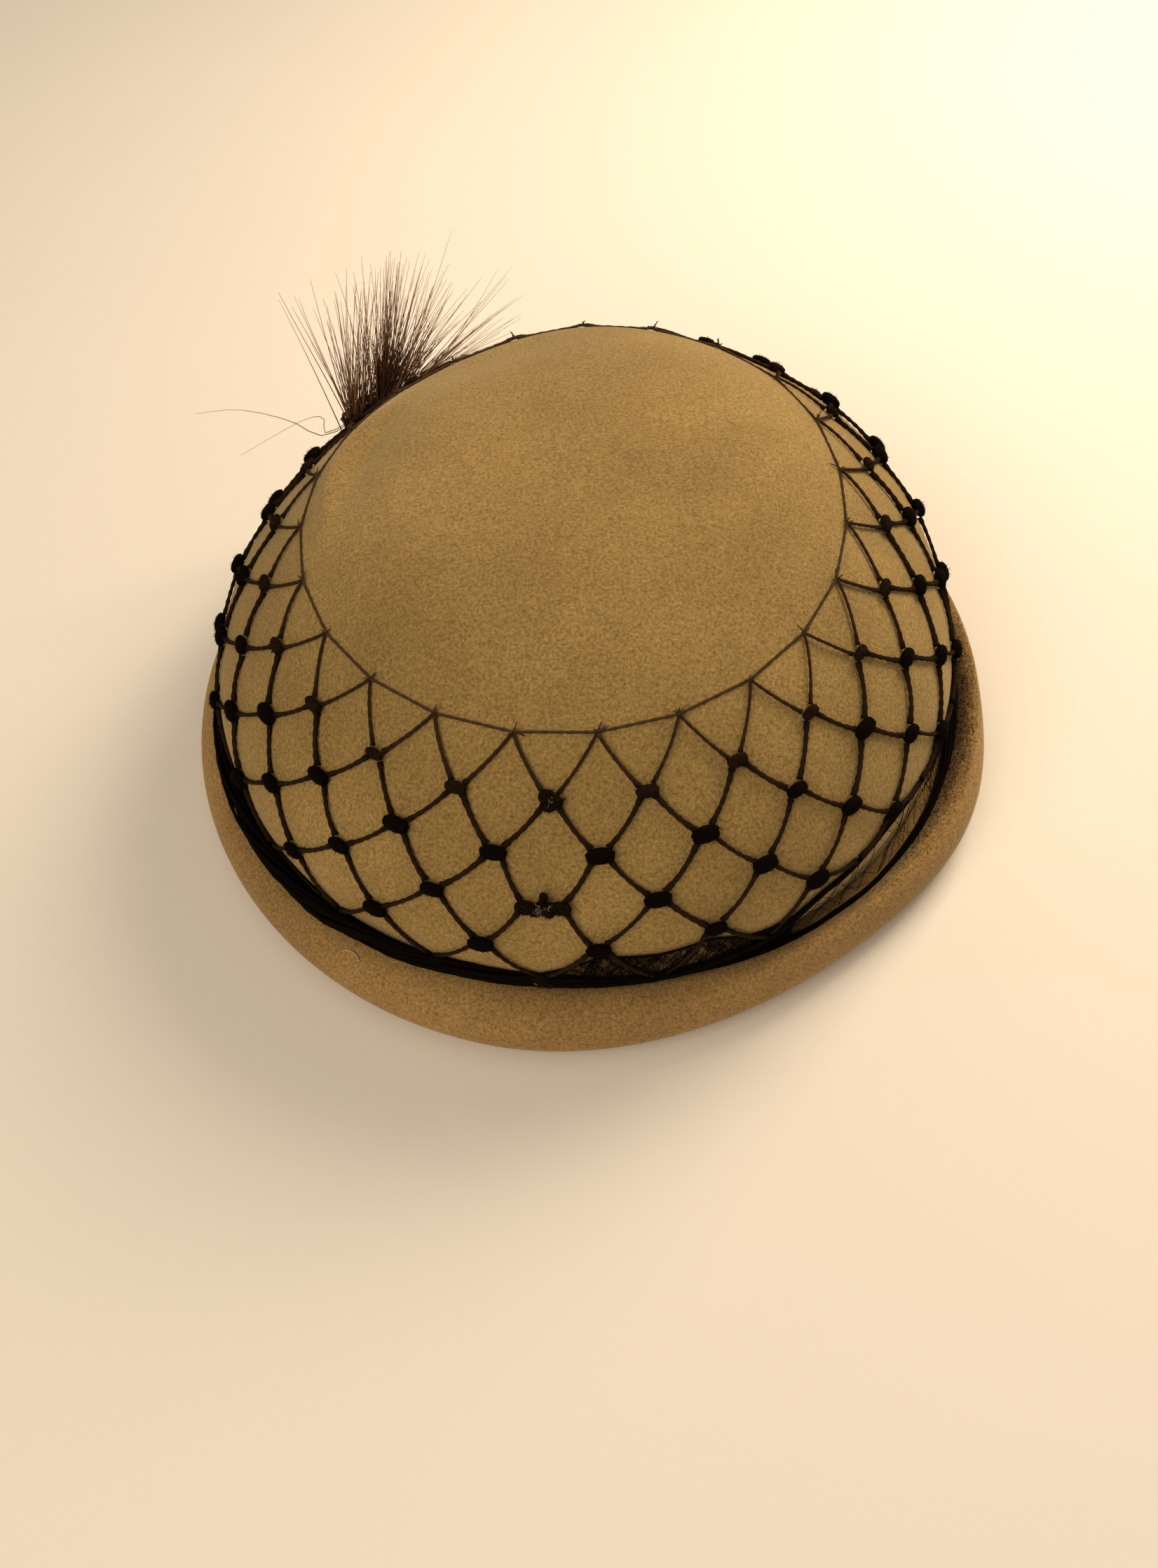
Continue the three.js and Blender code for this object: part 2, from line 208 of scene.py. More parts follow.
def crown_axes(angle, height_share, offset):
    """Directions along the row, up the crown and out of it."""
    nudge = 0.004
    ahead, behind = (on_crown(angle + turn, height_share, offset) for turn in (nudge, -nudge))
    above, below = (on_crown(angle, height_share + rise, offset) for rise in (nudge, -nudge))
    along, up = unit(ahead - behind), unit(above - below)
    return along, up, unit(np.cross(along, up))


# Mesh helpers

ASKEW = (0.31, 0.52, 0.79)  # a direction that hardly any fibre takes, which their sides are turned from


def add_piece(name, shape, material, node):
    """Makes a node's piece from a shape: its vertices, its faces and, for yarn and hair, its tones."""
    vertices, faces, *tones = shape
    mesh = bpy.data.meshes.new(name)
    mesh.from_pydata((np.asarray(vertices) * MM).tolist(), [], faces)
    mesh.polygons.foreach_set("use_smooth", [True] * len(mesh.polygons))
    for tone in tones:
        attribute = mesh.attributes.new("tone", "FLOAT", "POINT")
        attribute.data.foreach_set("value", np.asarray(tone, np.float32))
    mesh.materials.append(material)
    piece = bpy.data.objects.new(name, mesh)
    bpy.context.scene.collection.objects.link(piece)
    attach(piece, "root")
    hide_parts(node)


def join(shapes):
    """Joins shapes of vertices, faces and tones into one."""
    vertices, faces, tones, start = [], [], [], 0
    for shape_vertices, shape_faces, shape_tones in shapes:
        vertices.append(shape_vertices)
        faces.extend([tuple(corner + start for corner in face) for face in shape_faces])
        tones.append(shape_tones)
        start += len(shape_vertices)
    return np.concatenate(vertices), faces, np.concatenate(tones)


def tubes(paths, radii, across, sides, closed=False, lobe=0.0, twist=0.0, tone=0.0):
    """Tubes along paths of shape (count, steps, 3). A lobe makes a two-ply cord of them, turned by twist."""
    paths = np.asarray(paths, float)
    count, steps, _ = paths.shape
    if closed:
        ahead = np.roll(paths, -1, 1) - np.roll(paths, 1, 1)
    else:
        ahead = np.gradient(paths, axis=1)
    tangent = unit(ahead)
    first = unit(np.cross(np.broadcast_to(across, paths.shape), tangent))
    second = np.cross(tangent, first)
    turn = np.arange(sides) * FULL_TURN / sides
    radii = np.broadcast_to(radii, (count, steps))[..., None]
    twist = np.broadcast_to(twist, (count, steps))[..., None]
    reach = radii * (1 + lobe * np.cos(2 * (turn - twist)))
    rim = np.cos(turn)[:, None] * first[:, :, None] + np.sin(turn)[:, None] * second[:, :, None]
    vertices = (paths[:, :, None] + reach[..., None] * rim).reshape(-1, 3)
    index = np.arange(count * steps * sides).reshape(count, steps, sides)
    here = index if closed else index[:, :-1]
    there = np.roll(index, -1, 1) if closed else index[:, 1:]
    quads = np.stack([here, np.roll(here, -1, 2), np.roll(there, -1, 2), there], -1).reshape(-1, 4)
    faces = [tuple(quad) for quad in quads.tolist()]
    if not closed:
        faces += [tuple(ring[::-1]) for ring in index[:, 0].tolist()]
        faces += [tuple(ring) for ring in index[:, -1].tolist()]
    tones = np.broadcast_to(np.asarray(tone, float), (count, steps))
    return vertices, faces, np.repeat(tones.reshape(-1), sides)


def spikes(roots, tips, radius, tone):
    """Fine closed fibres with three sides and a point."""
    count = len(roots)
    ahead = unit(tips - roots)
    side = unit(np.cross(ahead, ASKEW))
    other = np.cross(ahead, side)
    corners = []
    for turn in (0, FULL_TURN / 3, 2 * FULL_TURN / 3):
        corners.append(roots + radius * (math.cos(turn) * side + math.sin(turn) * other))
    points = [*corners, tips]
    base = np.arange(count)[:, None] * len(points)
    pattern = ((0, 1, 3), (1, 2, 3), (2, 0, 3), (2, 1, 0))
    faces = np.concatenate([base + corner for corner in pattern]).tolist()
    tones = np.repeat(np.broadcast_to(tone, count), len(points))
    return np.stack(points, 1).reshape(-1, 3), [tuple(face) for face in faces], tones


def swept_shell(points):
    """Faces of a section swept round the hat: points of shape (angles, section, 3) that close both ways."""
    angles, section, _ = points.shape
    index = np.arange(angles * section).reshape(angles, section)
    beside = np.roll(index, -1, 0)
    quads = np.stack([index, np.roll(index, -1, 1), np.roll(beside, -1, 1), beside], -1).reshape(-1, 4)
    return points.reshape(-1, 3), [tuple(quad) for quad in quads.tolist()]


# Materials


def add_node(material, kind, inputs=None, **settings):
    made = material.node_tree.nodes.new(kind)
    for name, value in settings.items():
        setattr(made, name, value)
    for name, value in (inputs or {}).items():
        if isinstance(value, bpy.types.NodeSocket):
            material.node_tree.links.new(value, made.inputs[name])
        else:
            made.inputs[name].default_value = value
    return made


def new_material(name, **values):
    """A material with its shader, whose constant values are set on the shader's own sockets."""
    material = bpy.data.materials.new(name)
    material.use_nodes = True
    shader = material.node_tree.nodes["Principled BSDF"]
    for socket, value in values.items():
        shader.inputs[socket.replace("_", " ")].default_value = value
    return material, shader


def connect(material, shader, **outputs):
    """Links outputs to the shader's sockets, whose names have _ for a space here."""
    for socket, output in outputs.items():
        material.node_tree.links.new(output, shader.inputs[socket.replace("_", " ")])


def ramp(material, factor, stops):
    made = add_node(material, "ShaderNodeValToRGB", {"Fac": factor})
    elements = made.color_ramp.elements
    while len(elements) < len(stops):
        elements.new(0.5)
    for element, (position, colour) in zip(elements, stops):
        element.position = position
        element.color = (*colour, 1)
    return made.outputs["Color"]


def grey(value):
    return value, value, value


def object_spot(material):
    return add_node(material, "ShaderNodeTexCoord").outputs["Object"]


def vertex_tone(material):
    return add_node(material, "ShaderNodeAttribute", attribute_name="tone").outputs["Fac"]


def noise(material, vector, scale, detail=3.0, roughness=0.55):
    inputs = {"Vector": vector, "Scale": scale, "Detail": detail, "Roughness": roughness}
    return add_node(material, "ShaderNodeTexNoise", inputs).outputs[0]


def fibre_noise(material, vector, stretch):
    stretched = add_node(material, "ShaderNodeMapping", {"Vector": vector, "Scale": stretch}).outputs[0]
    return noise(material, stretched, scale=1, detail=2)


def calculated(material, operation, first, second):
    return add_node(material, "ShaderNodeMath", {0: first, 1: second}, operation=operation).outputs[0]


def multiplied(material, first, second):
    inputs = {"Fac": 1.0, "Color1": first, "Color2": second}
    return add_node(material, "ShaderNodeMixRGB", inputs, blend_type="MULTIPLY").outputs[0]


def between(material, value, low, high):
    inputs = {"Value": value, "To Min": low, "To Max": high}
    return add_node(material, "ShaderNodeMapRange", inputs).outputs[0]


def bumped(material, height, strength, distance):
    inputs = {"Strength": strength, "Distance": distance, "Height": height}
    return add_node(material, "ShaderNodeBump", inputs).outputs[0]


def felt_material(name, dark, middle, light):
    """Short dense nap: slow mottling, fine grain and crossing fibres, with a soft sheen."""
    material, shader = new_material(
        name,
        Specular_IOR_Level=0.12,
        Sheen_Weight=0.22,
        Sheen_Roughness=0.45,
        Sheen_Tint=(1.0, 0.86, 0.6, 1),
    )
    spot = object_spot(material)
    mottle = noise(material, spot, scale=30, detail=4)
    grain = noise(material, spot, scale=1300, detail=4, roughness=0.7)
    along = fibre_noise(material, spot, stretch=(1800, 260, 420))
    across = fibre_noise(material, spot, stretch=(260, 1800, 420))
    base = ramp(material, mottle, [(0.3, dark), (0.5, middle), (0.72, light)])
    speck = ramp(material, grain, [(0.3, grey(0.5)), (0.5, grey(1)), (0.7, grey(1.5))])
    nap = calculated(material, "ADD", calculated(material, "MAXIMUM", along, across), grain)
    connect(
        material,
        shader,
        Base_Color=multiplied(material, base, speck),
        Roughness=between(material, grain, low=0.82, high=1.0),
        Normal=bumped(material, nap, strength=0.5, distance=0.0004),
    )
    return material


def yarn_material(name, dark, brown, light, sheen):
    """Matt spun yarn. Tone 0 is the darkest yarn, a low tone the browner one and tone 1 the palest lint."""
    material, shader = new_material(
        name,
        Specular_IOR_Level=0.03,
        Sheen_Weight=sheen,
        Sheen_Roughness=0.4,
        Sheen_Tint=(0.8, 0.66, 0.5, 1),
    )
    spun = noise(material, object_spot(material), scale=2200)
    shade = ramp(material, vertex_tone(material), [(0.0, dark), (0.06, brown), (1.0, light)])
    speck = ramp(material, spun, [(0.3, grey(0.6)), (0.7, grey(1.35))])
    connect(
        material,
        shader,
        Base_Color=multiplied(material, shade, speck),
        Roughness=between(material, spun, low=0.75, high=1.0),
        Normal=bumped(material, spun, strength=0.4, distance=0.0002),
    )
    return material


def hair_material(name):
    """Coarse hair. Tone runs from the dark root to the pale tip."""
    material, shader = new_material(name, Specular_IOR_Level=0.35)
    streak = noise(material, object_spot(material), scale=900, detail=2)
    stops = [
        (0.0, (0.014, 0.006, 0.004)),
        (0.35, (0.17, 0.07, 0.032)),
        (0.7, (0.33, 0.18, 0.09)),
        (1.0, (0.52, 0.37, 0.22)),
    ]
    connect(
        material,
        shader,
        Base_Color=ramp(material, vertex_tone(material), stops),
        Roughness=between(material, streak, low=0.35, high=0.6),
    )
    return material


CROWN_FELT_MATERIAL = felt_material(
    "crown_felt", dark=(0.236, 0.15, 0.048), middle=(0.272, 0.174, 0.056), light=(0.314, 0.203, 0.067)
)
BRIM_FELT_MATERIAL = felt_material(
    "brim_felt", dark=(0.235, 0.138, 0.047), middle=(0.272, 0.16, 0.055), light=(0.31, 0.187, 0.065)
)
YARN_MATERIAL = yarn_material(
    "net_yarn",
    dark=(0.0035, 0.002, 0.0012),
    brown=(0.034, 0.018, 0.009),
    light=(0.55, 0.47, 0.38),
    sheen=0.0,
)
THREAD_MATERIAL = yarn_material(
    "drawstring_thread",
    dark=(0.035, 0.02, 0.011),
    brown=(0.06, 0.035, 0.019),
    light=(0.4, 0.32, 0.24),
    sheen=0.1,
)
HAIR_MATERIAL = hair_material("plume_hair")

# Crown

CROWN_ANGLES = 240
CROWN_RINGS = 84
CROWN_INSIDE_RINGS = 40
CUT_EDGE_DROP = 0.5


def crown_shell():
    angle = np.arange(CROWN_ANGLES)[:, None] * FULL_TURN / CROWN_ANGLES
    outside = felt_point(angle, np.linspace(0, 1, CROWN_RINGS + 1)[None, 1:], 0)
    inside = felt_point(angle, np.linspace(1, 0, CROWN_INSIDE_RINGS + 1)[None, :-1], -CROWN_FELT)
    edge = (outside[:, -1:] + inside[:, :1]) / 2 - UP * CUT_EDGE_DROP
    points = np.concatenate([outside, edge, inside], 1)
    vertices, faces = swept_shell(points)
    # No wall joins the top rings of the outside and the inside: each of them closes on its own pole.
    section = points.shape[1]
    last_to_first = {section - 1, 0}
    faces = [face for face in faces if {corner % section for corner in face} != last_to_first]
    start = len(vertices)
    poles = felt_point(0, np.zeros(1), np.array([[0], [-CROWN_FELT]])).reshape(2, 3)
    for step in range(CROWN_ANGLES):
        here, beside = step * section, (step + 1) % CROWN_ANGLES * section
        faces.append((start, here, beside))
        faces.append((start + 1, beside + section - 1, here + section - 1))
    return np.concatenate([vertices, poles]), faces


add_piece("crown_shell", crown_shell(), CROWN_FELT_MATERIAL, "crown")

# Brim

BRIM_ANGLES = 300
BRIM_STEPS = 46
SEAM_GAP = 0.45
SEAM_HEIGHTS = np.array([0.103, 0.135])
FLARED_SEAM_HEIGHTS = np.array([0.084, 0.106])
BRIM_LINE = np.array([
    # reach past the crown radius, height, reach and height where flared, share of the dip,
    # and how far the ridge stands out and up
    (-1.2, 16.2, 2.8, 10, -0.2, 0, 0),
    (4.6, 15.6, 6.6, 15.2, 0.25, 1.2, 0.2),
    (8.9, 11.9, 9.4, 12.4, 1, 0, 0.2),
    (9.7, 7, 9.7, 7, 1, 0, 0),
    (7.2, 2.8, 7.2, 2.8, 1, 0, 0),
    (2, 1.3, 2, 1.3, 0.6, 0, 0),
    (-5.5, 1.3, -5, 1.3, 0, 0, 0),
])
DIP_CENTRE, DIP_SPAN, DIP_DEPTH = 22 * DEGREE, 42 * DEGREE, 3.2
BULGE_CENTRE, BULGE_SPAN, BULGE_REACH = 58 * DEGREE, 24 * DEGREE, 2.1
RIDGE_CENTRE, RIDGE_SPAN = 85 * DEGREE, 60 * DEGREE
LAND_TOLERANCE = 0.5


def brim_section(angle):
    """Closed section of the brim's felt, as radius and height: over the roll outside and back inside."""
    flare = float(swell(angle, FLARE_CENTRE, FLARE_SPAN))
    bulge = BULGE_REACH * float(swell(angle, BULGE_CENTRE, BULGE_SPAN))
    dip = DIP_DEPTH * float(swell(angle, DIP_CENTRE, DIP_SPAN)) - bulge
    ridge = float(swell(angle, RIDGE_CENTRE, RIDGE_SPAN))
    point, normal = profile_at(run_at(SEAM_HEIGHTS + (FLARED_SEAM_HEIGHTS - SEAM_HEIGHTS) * flare))
    seam = point + normal * (SEAM_GAP + BRIM_FELT / 2) + np.array([FLARE_REACH * flare, 0])
    plain, flared, dip_share, ridge_shift = np.split(BRIM_LINE, [2, 4, 5], axis=1)
    roll = plain + (flared - plain) * flare + ridge_shift * ridge
    roll[:, 0] += CROWN_RADIUS - dip * dip_share[:, 0]
    line, tangent = spline(np.concatenate([seam, roll]), np.linspace(0, 1, BRIM_STEPS + 1))
    across = np.stack([-tangent[:, 1], tangent[:, 0]], 1) * BRIM_FELT / 2
    outside, inside = line + across, line - across
    # The lowest points are pressed flat on the plane that the hat rests on.
    low = outside[:, 1]
    outside[:, 1] = low * smoothstep(low, 0, LAND_TOLERANCE)
    return np.concatenate([outside, inside[::-1]])


def brim_shell():
    angles = np.arange(BRIM_ANGLES) * FULL_TURN / BRIM_ANGLES
    sections = np.array([brim_section(angle) for angle in angles])
    points = place(angles[:, None], sections[..., 0], sections[..., 1])
    wave = BRIM_WAVE_LIFT * soft_waves(points, BRIM_WAVE_LENGTH)
    wave = wave * smoothstep(points[..., 2], BRIM_WAVE_FROM, BRIM_WAVE_TO)
    outward = unit(points * (1 - UP))
    return swept_shell(points + outward * wave[..., None])


add_piece("brim_shell", brim_shell(), BRIM_FELT_MATERIAL, "brim")

# Veil net

NET_ROWS = [
    # height share, turn in degrees, knot size
    (0.808, 1.4, 0.0),
    (0.7, 0.6, 0.8),
    (0.602, 0.0, 1.0),
    (0.5, -0.6, 1.0),
    (0.388, -1.3, 0.95),
]
KNOT_HALF_WIDTH = 3.0
KNOT_HALF_HEIGHT = 2.0
KNOT_HALF_DEPTH = 1.7
SEAM_TURN = -9.4  # degrees from the middle of the back to the column that is tied by hand
TIED_COLUMN = 0
TIED_WIDE_ROW = 3  # the row of its widest knot
TIED_REACH = 5.7  # from the middle of that knot to the cords at its ends

# Gathered hem: a thick bundle in the crease, which thins to a cord and rides up at the right of the back
HEM_SECTIONS = np.array([
    # angle in degrees, height share, offset, half height, half depth
    (-180, 0.24, 2.4, 3.0, 2.0),
    (-100, 0.242, 2.2, 2.0, 1.5),
    (-62, 0.237, 3.6, 3.0, 2.0),
    (-46, 0.236, 3.5, 3.1, 2.0),
    (-34, 0.246, 2.2, 3.0, 1.7),
    (-20, 0.256, 1.3, 2.6, 1.4),
    (-9, 0.25, 1.2, 2.3, 1.1),
    (6, 0.214, 1.3, 0.9, 0.7),
    (18, 0.243, 1.2, 0.8, 0.7),
    (31, 0.318, 0.8, 0.55, 0.45),
    (45, 0.35, 0.6, 0.4, 0.35),
    (64, 0.325, 0.6, 0.4, 0.35),
    (92, 0.305, 1.0, 1.0, 0.8),
    (130, 0.245, 2.4, 2.8, 1.9),
    (180, 0.24, 2.4, 3.0, 2.0),
])
# Slack net laid along the bottom of the crease, partly painted shade: its dark bundle, thickest at the right,
# deepens the groove's shadow
CREASE_NET_AND_SHADE_SECTIONS = np.array([
    # angle in degrees, height, radius, half height, half width
    (-180, 17.0, 101.8, 0.9, 0.8),
    (-12, 17.4, 101.6, 0.7, 0.7),
    (8, 16.8, 102.3, 0.6, 0.7),
    (22, 15.0, 103.8, 0.6, 0.8),
    (31, 13.8, 104.5, 0.5, 0.65),
    (42, 12.9, 105.6, 0.55, 0.65),
    (56, 12.6, 106.5, 0.9, 0.9),
    (80, 13.2, 106.4, 1.7, 1.7),
    (105, 15.4, 104.4, 1.3, 1.2),
    (130, 17.0, 101.8, 0.9, 0.8),
    (180, 17.0, 101.8, 0.9, 0.8),
])
HEM_TOP_SHARE = 0.6
HEM_KNOT_SIZE = 0.4


def knot_angle(row, column):
    """The even rows stand half a column to the left."""
    shift = -0.5 if row % 2 == 0 else 0
    turn = NET_ROWS[min(row, len(NET_ROWS) - 1)][1]
    return (SEAM_TURN + turn) * DEGREE + (column + shift) * COLUMN_ANGLE


def section_at(angle, sections):
    """The columns of a table of sections after its angles, eased from row to row."""
    degrees = np.arctan2(np.sin(angle), np.cos(angle)) / DEGREE
    keys = sections[:, 0]
    start = np.clip(np.searchsorted(keys, degrees) - 1, 0, len(keys) - 2)
    eased = smoothstep(degrees, keys[start], keys[start + 1])[..., None]
    return np.moveaxis(sections[start, 1:] * (1 - eased) + sections[start + 1, 1:] * eased, -1, 0)


def hem_top(angle):
    """Height share where the last cords go into the hem."""
    height, _, half_height, _ = section_at(angle, HEM_SECTIONS)
    return height + HEM_TOP_SHARE * half_height / CROWN_HEIGHT


def knot_place(row, column):
    """Angle, height share and size of a knot. The row past the last is the hem."""
    angle = knot_angle(row, column)
    if row == len(NET_ROWS):
        return angle, float(hem_top(angle)), HEM_KNOT_SIZE
    height, _, size = NET_ROWS[row]
    return angle, height, size


# Cords, thicker at the knots. The top row's are finer, browner and tighter.
CORD_END_ALONG, CORD_END_UP = 0.72, 0.55  # shares of a knot's half sizes
CORD_RADIUS = 0.51
CORD_RADIUS_RANGE = (0.88, 1.1)
CORD_PITCH = 5.2
CORD_LOBE = 0.14
CORD_STEPS = 30
CORD_SIDES = 8
CORD_SAG = 0.003  # share of the crown's height
CORD_LIFT = 0.3
CORD_LIFT_RANGE = (-0.3, 1.2)
CORD_SWELL = 0.7
CORD_SWELL_LENGTH = 2.2
CORD_TONE = 0.035
CORD_END_DARKENING = 0.7
TOP_SAG_SHARE = 0.2
TOP_RADIUS_SHARE = 0.8
TOP_CORD_TONE = 0.06
CORD_FIBRES = 9
CORD_FIBRE_LENGTHS = (0.7, 1.6)
CORD_FIBRE_RADIUS = 0.06
CORD_FIBRE_TONE = 0.08


def cord_end(row, column, side, level):
    """Where a cord leaves a knot, as angle and height share, at its left or right, top or bottom corner."""
    angle, height, size = knot_place(row, column)
    radius = float(np.linalg.norm(on_crown(angle, height, 0)[:2]))
    tied_wide = (row, column % NET_COLUMNS) == (TIED_WIDE_ROW, TIED_COLUMN)
    reach = TIED_REACH if tied_wide else CORD_END_ALONG * KNOT_HALF_WIDTH * size
    rise = level * CORD_END_UP * KNOT_HALF_HEIGHT * size
    return angle + side * reach / radius, height + rise / CROWN_HEIGHT


def cord_paths(rng):
    """Row and path of every cord. Two go down from each knot, to its right and to its left."""
    ends = []
    for row in range(len(NET_ROWS)):
        for column in range(NET_COLUMNS):
            right = column + row % 2
            for side, below in ((1, right), (-1, right - 1)):
                ends.append((row, cord_end(row, column, side, -1), cord_end(row + 1, below, -side, 1)))
    rows, start, finish = (np.array(values) for values in zip(*ends))
    share = np.linspace(0, 1, CORD_STEPS)
    arch = np.sin(math.pi * share)
    middle = start[:, None] + (finish - start)[:, None] * share[:, None]
    sag = np.where(rows == 0, TOP_SAG_SHARE, 1)[:, None] * CORD_SAG * arch
    lift = CORD_LIFT * arch * rng.uniform(*CORD_LIFT_RANGE, len(ends))[:, None]
    paths = on_crown(middle[..., 0], middle[..., 1] - sag, NET_STANDOFF + CORD_RADIUS + lift)
    return rows, paths


def net_cords():
    rng = np.random.default_rng(11)
    rows, paths = cord_paths(rng)
    count = len(paths)
    top = (rows == 0)[:, None]
    lengths = np.linalg.norm(np.diff(paths, axis=1), axis=-1).cumsum(1)
    lengths = np.concatenate([np.zeros((count, 1)), lengths], 1)
    twist = lengths * FULL_TURN / CORD_PITCH + rng.uniform(0, math.pi, count)[:, None]
    near_start = np.exp(-lengths / CORD_SWELL_LENGTH) * np.where(top, 0, 1)
    near_finish = np.exp((lengths - lengths[:, -1:]) / CORD_SWELL_LENGTH)
    radius = CORD_RADIUS * np.where(top, TOP_RADIUS_SHARE, 1)
    radius = radius * rng.uniform(*CORD_RADIUS_RANGE, count)[:, None]
    radius = radius * (1 + CORD_SWELL * (near_start + near_finish))
    darkening = CORD_END_DARKENING * np.maximum(near_start, near_finish)
    tone = np.where(top, TOP_CORD_TONE, CORD_TONE) * (1 - darkening)
    cords = tubes(paths, radius, UP, CORD_SIDES, lobe=CORD_LOBE, twist=twist, tone=tone)
    pick = rng.integers(1, CORD_STEPS - 1, (count, CORD_FIBRES))
    roots = np.take_along_axis(paths, pick[..., None], 1).reshape(-1, 3)
    stray = unit(rng.normal(size=roots.shape)) * rng.uniform(*CORD_FIBRE_LENGTHS, (len(roots), 1))
    return join([cords, spikes(roots, roots + stray, CORD_FIBRE_RADIUS, CORD_FIBRE_TONE)])


# Knots: yarn wound round a core, with short fibres standing off it
KNOT_TURNS = 11
KNOT_YARN = 0.55
KNOT_SIZE_RANGE = (0.9, 1.12)
KNOT_SEAT = 0.8  # share of the half depth from the felt to a knot's middle
TOP_KNOT_TONE = 0.02
COIL_STEPS = 10
COIL_SIDES = 5
COIL_REACH = 0.93
CORE_RINGS = 7
CORE_SIDES = 10
CORE_END_TILT = 0.12
CORE_REACH = 0.92
CORE_THICKNESS = 0.72
FLUFF_EACH = 60
FLUFF_LENGTHS = (0.2, 0.9)
FLUFF_ROOT_SHARE = 0.9
FLUFF_RADIUS = 0.08
FLUFF_TONE = 0.015


def knot_coils(centres, axes, half_sizes, turns, tone):
    """Yarn wound round each knot from end to end."""
    share = np.linspace(0, 1, turns * COIL_STEPS + 1)
    turn = share * turns * FULL_TURN
    along, up, out = (axis[:, None] for axis in axes)
    wide, tall, deep = half_sizes.T[..., None]
    x = wide * (2 * share - 1) * COIL_REACH
    bulge = (1 - (x / wide) ** 2) ** 0.5
    y = (tall - KNOT_YARN) * bulge * np.cos(turn)
    z = (deep - KNOT_YARN) * bulge * np.sin(turn)
    paths = centres[:, None] + x[..., None] * along + y[..., None] * up + z[..., None] * out
    return tubes(paths, KNOT_YARN, along, COIL_SIDES, tone=tone)


def knot_cores(centres, axes, half_sizes, tone):
    """The body of each knot, under its yarn."""
    tilt = np.linspace(CORE_END_TILT, math.pi - CORE_END_TILT, CORE_RINGS)
    along, up, _ = (axis[:, None] for axis in axes)
    wide, tall, deep = half_sizes.T[..., None]
    paths = centres[:, None] - (wide * np.cos(tilt) * CORE_REACH)[..., None] * along
    radius = np.minimum(tall, deep) * CORE_THICKNESS * np.sin(tilt)
    return tubes(paths, radius, up, CORE_SIDES, tone=tone)


def knot_fluff(rng, centres, axes, half_sizes, tone):
    """Short fibres standing off the wound yarn."""
    along, up, out = (np.repeat(axis, FLUFF_EACH, 0) for axis in axes)
    sizes = np.repeat(half_sizes, FLUFF_EACH, 0)
    aim = unit(rng.normal(size=(len(sizes), 3)))
    aim[:, 2] = np.abs(aim[:, 2])
    root_reach = aim * sizes * FLUFF_ROOT_SHARE
    tip_reach = aim * (sizes + rng.uniform(*FLUFF_LENGTHS, (len(sizes), 1)))
    middle = np.repeat(centres, FLUFF_EACH, 0)
    roots, tips = (
        middle + reach[:, :1] * along + reach[:, 1:2] * up + reach[:, 2:] * out
        for reach in (root_reach, tip_reach)
    )
    return spikes(roots, tips, FLUFF_RADIUS, tone)


def net_knots():
    """The knots that the net was made with: all but those of the odd rows in the tied column."""
    rng = np.random.default_rng(23)
    knots = [
        (row, *knot_place(row, column))
        for row in range(1, len(NET_ROWS))
        for column in range(NET_COLUMNS)
        if not (column == TIED_COLUMN and row % 2 == 1)
    ]
    rows, angle, height, size = np.array(knots).T
    size = size * rng.uniform(*KNOT_SIZE_RANGE, len(size))
    centres = on_crown(angle, height, NET_STANDOFF + KNOT_HALF_DEPTH * KNOT_SEAT)
    axes = crown_axes(angle, height, NET_STANDOFF)
    half_sizes = size[:, None] * np.array([KNOT_HALF_WIDTH, KNOT_HALF_HEIGHT, KNOT_HALF_DEPTH])
    tone = np.where(rows == 1, TOP_KNOT_TONE, 0.0)[:, None]
    parts = [
        knot_coils(centres, axes, half_sizes, KNOT_TURNS, tone),
        knot_cores(centres, axes, half_sizes, tone),
        knot_fluff(rng, centres, axes, half_sizes, FLUFF_TONE),
    ]
    return join(parts)


# The net's two ends are tied together by hand in one column, with loose thread ends and lint.
TIED_LUMPS = [
    # row, shift along the row, shift up, half width, half height, half depth
    (1, -0.7, 0.8, 2.1, 1.9, 1.7),
    (1, 1.1, -0.3, 2.0, 1.9, 1.8),
    (1, -0.3, -1.3, 1.8, 1.5, 1.5),
    (3, -4.2, 0.1, 2.6, 1.8, 1.6),
    (3, 4.4, 0.3, 2.7, 1.8, 1.6),
    (3, -1.6, -0.4, 1.9, 1.8, 1.7),
    (3, 1.5, -0.2, 2.0, 1.9, 1.8),
    (3, 0.1, 1.0, 1.4, 1.2, 1.6),
    (3, 0.3, 2.9, 1.0, 1.3, 1.3),
    (5, -0.4, 0.6, 2.4, 1.7, 1.6),
    (5, 1.6, -0.8, 1.8, 1.3, 1.5),
]
TIED_ENDS = [
    # row, loose ends, half width of the run they stand on, pale lint fibres
    (1, 4, 1.8, 6),
    (3, 8, 4.2, 34),
    (5, 4, 2.4, 4),
]
TIED_SEAT = 0.9
TIED_LOOPS = 11
TIED_LOOP_STEPS = 20
TIED_LOOP_RANGE = (0.85, 1.08)
TIED_YARN = 0.42
TIED_YARN_RANGE = (0.8, 1.15)
TIED_YARN_SIDES = 6
TIED_TONE = 0.01
TIED_FLUFF_TONE = 0.02
END_STEPS = 7
END_SCATTER = 0.6
END_LEANS = (0.8, 0.9)  # along the row and up
END_RISE = (0.1, 0.6)
END_CURL = 0.8
END_FALL = 0.5
LOOSE_LENGTHS = (0.6, 1.2)
LOOSE_LIFT = 1.2
LOOSE_RADIUS = 0.28
LOOSE_SIDES = 5
LOOSE_TONE = 0.02
LINT_LENGTHS = (0.4, 0.9)
LINT_LIFT = 1.5
LINT_RADIUS = 0.1
LINT_SIDES = 4
LINT_TONES = (0.05, 0.4)
LINT_RUN_SHARE = 0.5


